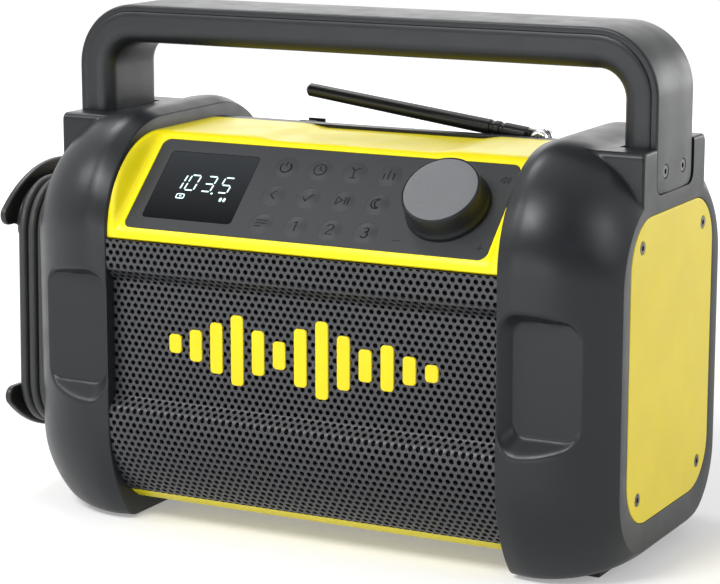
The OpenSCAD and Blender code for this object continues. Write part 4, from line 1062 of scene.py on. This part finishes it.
# Controls
AXIS_R = 0.02
KEY_DOME = 0.9
SIGN_SCALE = 1.2
SIGN_WIDTH = 0.85
SIGN_RISE = 0.22
KEY_SKIRT = -1.4
KEY_SIDES = 56
KEY_NAMES = (
    ("more", "one", "two", "three"),
    ("back", "select", "play", "sleep"),
    ("power", "timer", "source", "sound"),
)
SIGNS = {
    "power": [arc((0, -0.2), 2.3, 125, 415, 18), [(0, 0.2), (0, 2.7)]],
    "timer": [arc((0, 0), 2.5, 0, 360, 24), [(0, 1.5), (0, 0), (1.2, -0.5)]],
    "source": [[(0, -2.5), (0, 0.6)], [(-1.9, 2.4), (0, 0.6), (1.9, 2.4)], [(-1.2, -2.5), (1.2, -2.5)]],
    "sound": [[(-2, -2), (-2, 0.6)], [(0, -2), (0, 2.2)], [(2, -2), (2, 1.2)]],
    "back": [[(0.9, 2), (-1.1, 0), (0.9, -2)]],
    "select": [[(-1.9, 0.1), (-0.5, -1.6), (2, 1.8)]],
    "play": [
        [(-2.4, 1.8), (-2.4, -1.8), (0.3, 0), (-2.4, 1.8)],
        [(1.3, 1.7), (1.3, -1.7)], [(2.5, 1.7), (2.5, -1.7)],
    ],
    "sleep": [arc((-0.3, 0), 2.2, 60, 300, 16) + list(reversed(arc((0.9, 0), 1.9, 95, 265, 12)))],
    "more": [[(-2.2, 1.4), (2.2, 1.4)], [(-2.2, 0), (2.2, 0)], [(-2.2, -1.4), (0.6, -1.4)]],
    "one": [[(-0.9, 1.3), (0.3, 2.2), (0.3, -2.2)]],
    "two": [arc((0, 1), 1.3, 170, -35, 10) + [(-1.4, -2.1), (1.5, -2.1)]],
    "three": [arc((0, 1.05), 1.15, 150, -80, 10) + arc((0, -1), 1.3, 80, -150, 12)],
}


def dome(r):
    """Height of a key's soft dome at a distance from its middle."""
    return KEY_DOME * (1 - min(1.0, r / KEY_R) ** 2) ** 1.6


def finely(stroke):
    """The same line with a point at least every half millimetre, so that it can follow a dome."""
    points = []
    for (x0, u0), (x1, u1) in zip(stroke, stroke[1:]):
        count = max(1, math.ceil(math.dist((x0, u0), (x1, u1)) / 0.5))
        points += [(x0 + (x1 - x0) * i / count, u0 + (u1 - u0) * i / count) for i in range(count)]
    return points + [stroke[-1]]


def raised_strokes(name, strokes, spot, height, width, rise):
    """Rounded ridges along strokes (x, u), which stand on a face of the given height."""
    lines = []
    for stroke in map(finely, strokes):
        middles = [height(math.hypot(x, u)) + rise - width / 2 for x, u in stroke]
        lines.append([on_panel(spot[0] + x, spot[1] + u, w) for (x, u), w in zip(stroke, middles)])
    curve = poly_curve(name, lines)
    curve.bevel_depth = width / 2 * MM
    curve.bevel_resolution = 1
    curve.use_fill_caps = True
    source = new_object(name, curve)
    mesh = plain_mesh(source)
    bpy.data.objects.remove(source)
    # The ridges take the darker sign grey, which paints the shade along them.
    return place_mesh(name, mesh, SIGN_SHADE_GREY, 60)


def key_spot(column, row):
    return KEY_X0 + KEY_PITCH_X * column, KEY_U0 + KEY_PITCH_U * row


def key(name, column, row):
    """A domed key with its sign."""
    spot = key_spot(column, row)
    profile = [(AXIS_R, dome(0))] + [(r, dome(r)) for r in steps(0.6, KEY_R, 0.45)]
    profile += [(KEY_R, -0.05), (KEY_R, KEY_SKIRT), (AXIS_R, KEY_SKIRT)]
    stands_for(spun("key_" + name + "_dressed", profile, spot, KEY_GREY, KEY_SIDES), "key_" + name)
    strokes = [[(SIGN_SCALE * x, SIGN_SCALE * u) for x, u in stroke] for stroke in SIGNS[name]]
    sign = raised_strokes("key_" + name + "_sign", strokes, spot, dome, SIGN_WIDTH, SIGN_RISE)
    joins(sign, name + "_key")


for row_number, names in enumerate(KEY_NAMES):
    for column_number, key_name in enumerate(names):
        key(key_name, column_number, row_number)


def control_panel():
    """A thin slab with close holes for the keys, the knob's shaft and the display."""
    slab = panel_slab("panel", PANEL_W / 2, 0, PANEL_U, -2.2, 0, 4)
    panel = round_edges(place_mesh("control_panel_dressed", slab, PANEL_GREY), 0.4)
    holes = [(KNOB_SPOT, 3.6)]
    holes += [(key_spot(column, row), KEY_R + 0.02) for row in range(3) for column in range(4)]
    outlines = [circle(spot, r, 64) for spot, r in holes]
    slip = 0.12
    outlines.append(rounded_rectangle(*DISPLAY_SPOT, DISPLAY_HALF[0] + slip, DISPLAY_HALF[1] + slip, 2.1))
    for outline in outlines:
        rings = [[on_panel(*p, w) for p in outline] for w in (-4, 2)]
        cut(panel, skin("hole", rings))
    stands_for(even_shading(panel), "control_panel")


control_panel()
PANEL_SIGNS = [
    [(-20.6, -20.8), (-16.2, -20.8)], [(20.0, -20.8), (24.4, -20.8)], [(22.2, -18.6), (22.2, -23.0)],
    [(19.6, 16.4), (20.6, 16.4), (21.8, 15.2), (21.8, 18.8), (20.6, 17.6), (19.6, 17.6), (19.6, 16.4)],
    arc((21.4, 17), 1.7, -45, 45, 6), arc((21.4, 17), 2.8, -45, 45, 6),
]
joins(
    raised_strokes("volume_signs", PANEL_SIGNS, KNOB_SPOT, lambda r: 0.0, 0.5, 0.12),
    "chassis",
)


# Display: a glossy window with slanted figures just in front of it
SEGMENTS = {"0": "abcdef", "1": "bc", "3": "abgcd", "5": "afgcd"}
FIGURE_W = 4.9
FIGURE_H = 8.8
STROKE = 0.74
SLANT = 0.12
FIGURES = (("1", -76.2), ("0", -69.0), ("3", -60.0), ("5", -51.0))
FIGURES_U = 28.3


def bar_shape(x0, u0, x1, u1, width):
    """A segment with pointed ends, as six points."""
    along = Vector((x1 - x0, u1 - u0)).normalized()
    side = Vector((-along.y, along.x)) * width / 2
    a, b = Vector((x0, u0)), Vector((x1, u1))
    tip = along * width / 2
    return [a, a + tip + side, b - tip + side, b, b - tip - side, a + tip - side]


def figure_shapes(letter, x, u):
    """Outlines of one figure's lit segments, from x on and centred on u."""
    w, h = FIGURE_W, FIGURE_H / 2
    gap = 0.36
    ends = {
        "a": (0, h, w, h), "b": (w, h, w, 0), "c": (w, 0, w, -h), "d": (0, -h, w, -h), "e": (0, 0, 0, -h),
        "f": (0, h, 0, 0), "g": (0, 0, w, 0),
    }
    shapes = []
    for segment in SEGMENTS[letter]:
        x0, u0, x1, u1 = ends[segment]
        run = Vector((x1 - x0, u1 - u0)).normalized() * gap
        bar = bar_shape(x0 + run.x, u0 + run.y, x1 - run.x, u1 - run.y, STROKE)
        shapes.append([Vector((p.x + x + SLANT * p.y, p.y + u)) for p in bar])
    return shapes


def lit_figures():
    """The figures, their point, a small frame with a bar, and two short bars, as thin plates."""
    shapes = []
    for letter, x in FIGURES:
        shapes += figure_shapes(letter, x, FIGURES_U)
    shapes.append(bar_shape(-54.9, FIGURES_U - 5.3, -53.5, FIGURES_U - 5.3, 1.2))
    x, u = -71.9, 18.9
    lines = [(0, 0, 4, 0), (0, 2.4, 4, 2.4), (0, 0, 0, 2.4), (4, 0, 4, 2.4), (2.9, 1.2, 1.3, 1.2)]
    for x0, u0, x1, u1 in lines:
        shapes.append(bar_shape(x + x0, u + u0, x + x1, u + u1, 0.55))
    for x in (-48.2, -46.2):
        shapes.append(bar_shape(x, 18.6, x, 21.2, 1.3))
    verts, faces = [], []
    for shape in shapes:
        points, sides = tube_rings([[on_panel(p.x, p.y, w) for p in shape] for w in (-0.05, 0.06)])
        faces += [tuple(len(verts) + i for i in face) for face in sides]
        verts += points
    mesh = mesh_from("lit_figures", verts, faces, merge=False)
    with editing(mesh) as bm:
        bmesh.ops.recalc_face_normals(bm, faces=bm.faces)
    joins(place_mesh("lit_figures", mesh, LIT), "chassis")


softened("display_window", DISPLAY_BLACK, 0.3)
lit_figures()


# Volume knob: a flared foot, a slightly tapered side and a face set in a thin rim
KNOB_LIFT = 0.6
KNOB_TOP = 12.6
KNOB_SIDES = 128


def volume_knob():
    side = [(AXIS_R, KNOB_LIFT), (19.5, KNOB_LIFT), (19.75, 0.8), (19.8, 1.2), (19.7, 1.9), (19.35, 2.6)]
    side += [(19.0, 3.4), (18.75, 4.6), (18.6, 6.5), (18.45, 9.0), (18.3, 11.0), (18.2, 11.7)]
    side += [(17.95, 12.25), (17.7, 12.5), (17.45, KNOB_TOP), (17.35, 12.45), (17.3, 12.0), (AXIS_R, 12.0)]
    stands_for(spun("volume_knob_dressed", side, KNOB_SPOT, KNOB_BLACK, KNOB_SIDES), "volume_knob")
    face = [(AXIS_R, 11.4), (17.15, 11.4), (17.2, 12.2), (17.05, 12.42), (16.7, 12.5)]
    face += [(12.0, 12.5), (AXIS_R, 12.5)]
    stands_for(spun("knob_face_dressed", face, KNOB_SPOT, KNOB_FACE, KNOB_SIDES), "knob_face")


volume_knob()


# Antenna, cord hooks and small pieces
SMALL_PIECES = (
    ("antenna_mast", MAST_BLACK, 0.2), ("antenna_swivel", CHROME, 0.4), ("antenna_socket", CHROME, 0.4),
    ("antenna_clip", BLACK_PLASTIC, 0.15, 2), ("upper_cord_hook", BLACK_PLASTIC, 1.1),
    ("lower_cord_hook", BLACK_PLASTIC, 1.1), ("cord_strain_relief", CORD_PLAIN, 0.8),
    ("battery_door", CHARCOAL, 0.5), ("socket_flap", BLACK_PLASTIC, 0.15, 2),
)
for small_piece in SMALL_PIECES:
    softened(*small_piece)

BY_SLOT = {
    "charcoal_plastic": CHARCOAL, "handle_rubber": HANDLE_GREY, "foot_rubber": RUBBER, "steel": STEEL,
    "black_steel": DARK_STEEL, "yellow_plastic": YELLOW, "grille_metal": GRILLE_GREY, "black_cloth": CLOTH,
    "panel_plastic": PANEL_GREY, "key_rubber": KEY_GREY, "mat_rubber": KEY_GREY,
    "display_plastic": DISPLAY_BLACK, "module_plastic": MODULE, "board": BOARD,
    "knob_plastic": KNOB_BLACK, "chrome": CHROME,
    "antenna_sheath": MAST_BLACK, "black_plastic": BLACK_PLASTIC, "cord_rubber": CORD_PLAIN,
    "driver_metal": DARK_STEEL, "cone_paper": PAPER,
}
for node_name, node_object in NODES.items():
    node_object.data.materials.clear()
    node_object.data.materials.append(BY_SLOT[SLOT_OF[node_name]])
NODES["handle_screws"].data.materials[0] = DARK_STEEL


# Stage and light
DIM_SIDE = (0.454, -0.868, 0.2)


def plain_floor():
    """A white floor that keeps the shadow, with some white of its own for the camera and reflections."""
    floor = Finish("floor_white", Roughness=0.9, Specular_IOR_Level=0.0, Emission_Color=(1, 1, 1, 1))
    floor.tone((0.7, 0.7, 0.7), 0.01, 400)
    seen = seen_rays(floor)
    away = floor.add("ShaderNodeVectorMath", Vector=floor.place)
    away.operation = "LENGTH"
    own = floor.add(
        "ShaderNodeMapRange", Value=away.outputs["Value"], From_Min=0.35, From_Max=1.1, To_Min=0.3, To_Max=0.7
    )
    strength = floor.add("ShaderNodeMapRange", Value=seen, To_Min=0.0, To_Max=own.outputs["Result"])
    floor.drive("Emission Strength", strength.outputs["Result"])
    size = 4.0
    mesh = bpy.data.meshes.new("floor")
    corners = [(-size, -size, 0), (size, -size, 0), (size, size, 0), (-size, size, 0)]
    mesh.from_pydata(corners, [], [(0, 1, 2, 3)])
    mesh.materials.append(floor.material)
    new_object("floor", mesh)


def seen_rays(finish):
    """One for rays of the camera, of reflections and through glass, otherwise zero."""
    path = finish.add("ShaderNodeLightPath")
    total = path.outputs["Is Camera Ray"]
    for name in ("Is Glossy Ray", "Is Transmission Ray"):
        most = finish.add("ShaderNodeMath")
        most.operation = "MAXIMUM"
        feed(most.inputs[0], total)
        feed(most.inputs[1], path.outputs[name])
        total = most.outputs["Value"]
    return total


def soft_world(ambient):
    """White for the camera. Reflections see a studio that is bright behind the speaker and dim before it."""
    world = bpy.data.worlds.new("studio")
    world.use_nodes = True
    bpy.context.scene.world = world
    tree = world.node_tree
    background = tree.nodes["Background"]
    background.inputs["Color"].default_value = (1, 1, 1, 1)
    path = tree.nodes.new("ShaderNodeLightPath")
    towards = tree.nodes.new("ShaderNodeVectorMath")
    towards.operation = "DOT_PRODUCT"
    towards.inputs[1].default_value = DIM_SIDE
    tree.links.new(tree.nodes.new("ShaderNodeTexCoord").outputs["Generated"], towards.inputs[0])
    studio = tree.nodes.new("ShaderNodeMapRange")
    for socket, value in (("From Min", 0.1), ("From Max", 0.9), ("To Min", 0.9), ("To Max", 0.08)):
        studio.inputs[socket].default_value = value
    tree.links.new(towards.outputs["Value"], studio.inputs["Value"])
    level = ambient
    levels = {
        "Is Glossy Ray": studio.outputs["Result"], "Is Transmission Ray": 1.0, "Is Camera Ray": 1.0,
    }
    for ray, value in levels.items():
        mix = tree.nodes.new("ShaderNodeMix")
        for socket, source in (("Factor", path.outputs[ray]), ("A", level), ("B", value)):
            feed(mix.inputs[socket], source)
        level = mix.outputs["Result"]
    tree.links.new(level, background.inputs["Strength"])


def softbox(name, place, aim, size, watts):
    """A rectangular lamp, in metres, turned to the point it aims at."""
    data = bpy.data.lights.new(name, "AREA")
    data.shape = "RECTANGLE"
    data.size, data.size_y = size
    data.energy = watts
    lamp = new_object(name, data)
    lamp.location = place
    lamp.rotation_euler = (Vector(aim) - Vector(place)).to_track_quat("-Z", "Y").to_euler()


plain_floor()
soft_world(0.4)
BODY_MIDDLE = (0, 0, 0.13)
softbox("overhead", (-0.2, -1.05, 1.15), BODY_MIDDLE, (0.5, 0.45), 15)
softbox("left", (-1.15, -0.8, 1.15), BODY_MIDDLE, (0.4, 0.4), 7)
softbox("right", (1.35, -0.2, 0.8), BODY_MIDDLE, (0.6, 0.6), 5)
softbox("right_rear", (0.9, 1.7, 0.36), BODY_MIDDLE, (1.0, 0.6), 7)
softbox("top", (-0.6, 0.4, 1.2), BODY_MIDDLE, (0.45, 0.45), 5)
softbox("front_low", (-0.1, -1.25, 0.12), (0, 0, 0.03), (1.2, 0.16), 3)
softbox("rear", (-0.65, 1.5, 0.6), (0, 0, 0.2), (1.4, 0.7), 3.5)
bpy.context.scene.view_settings.view_transform = "Standard"
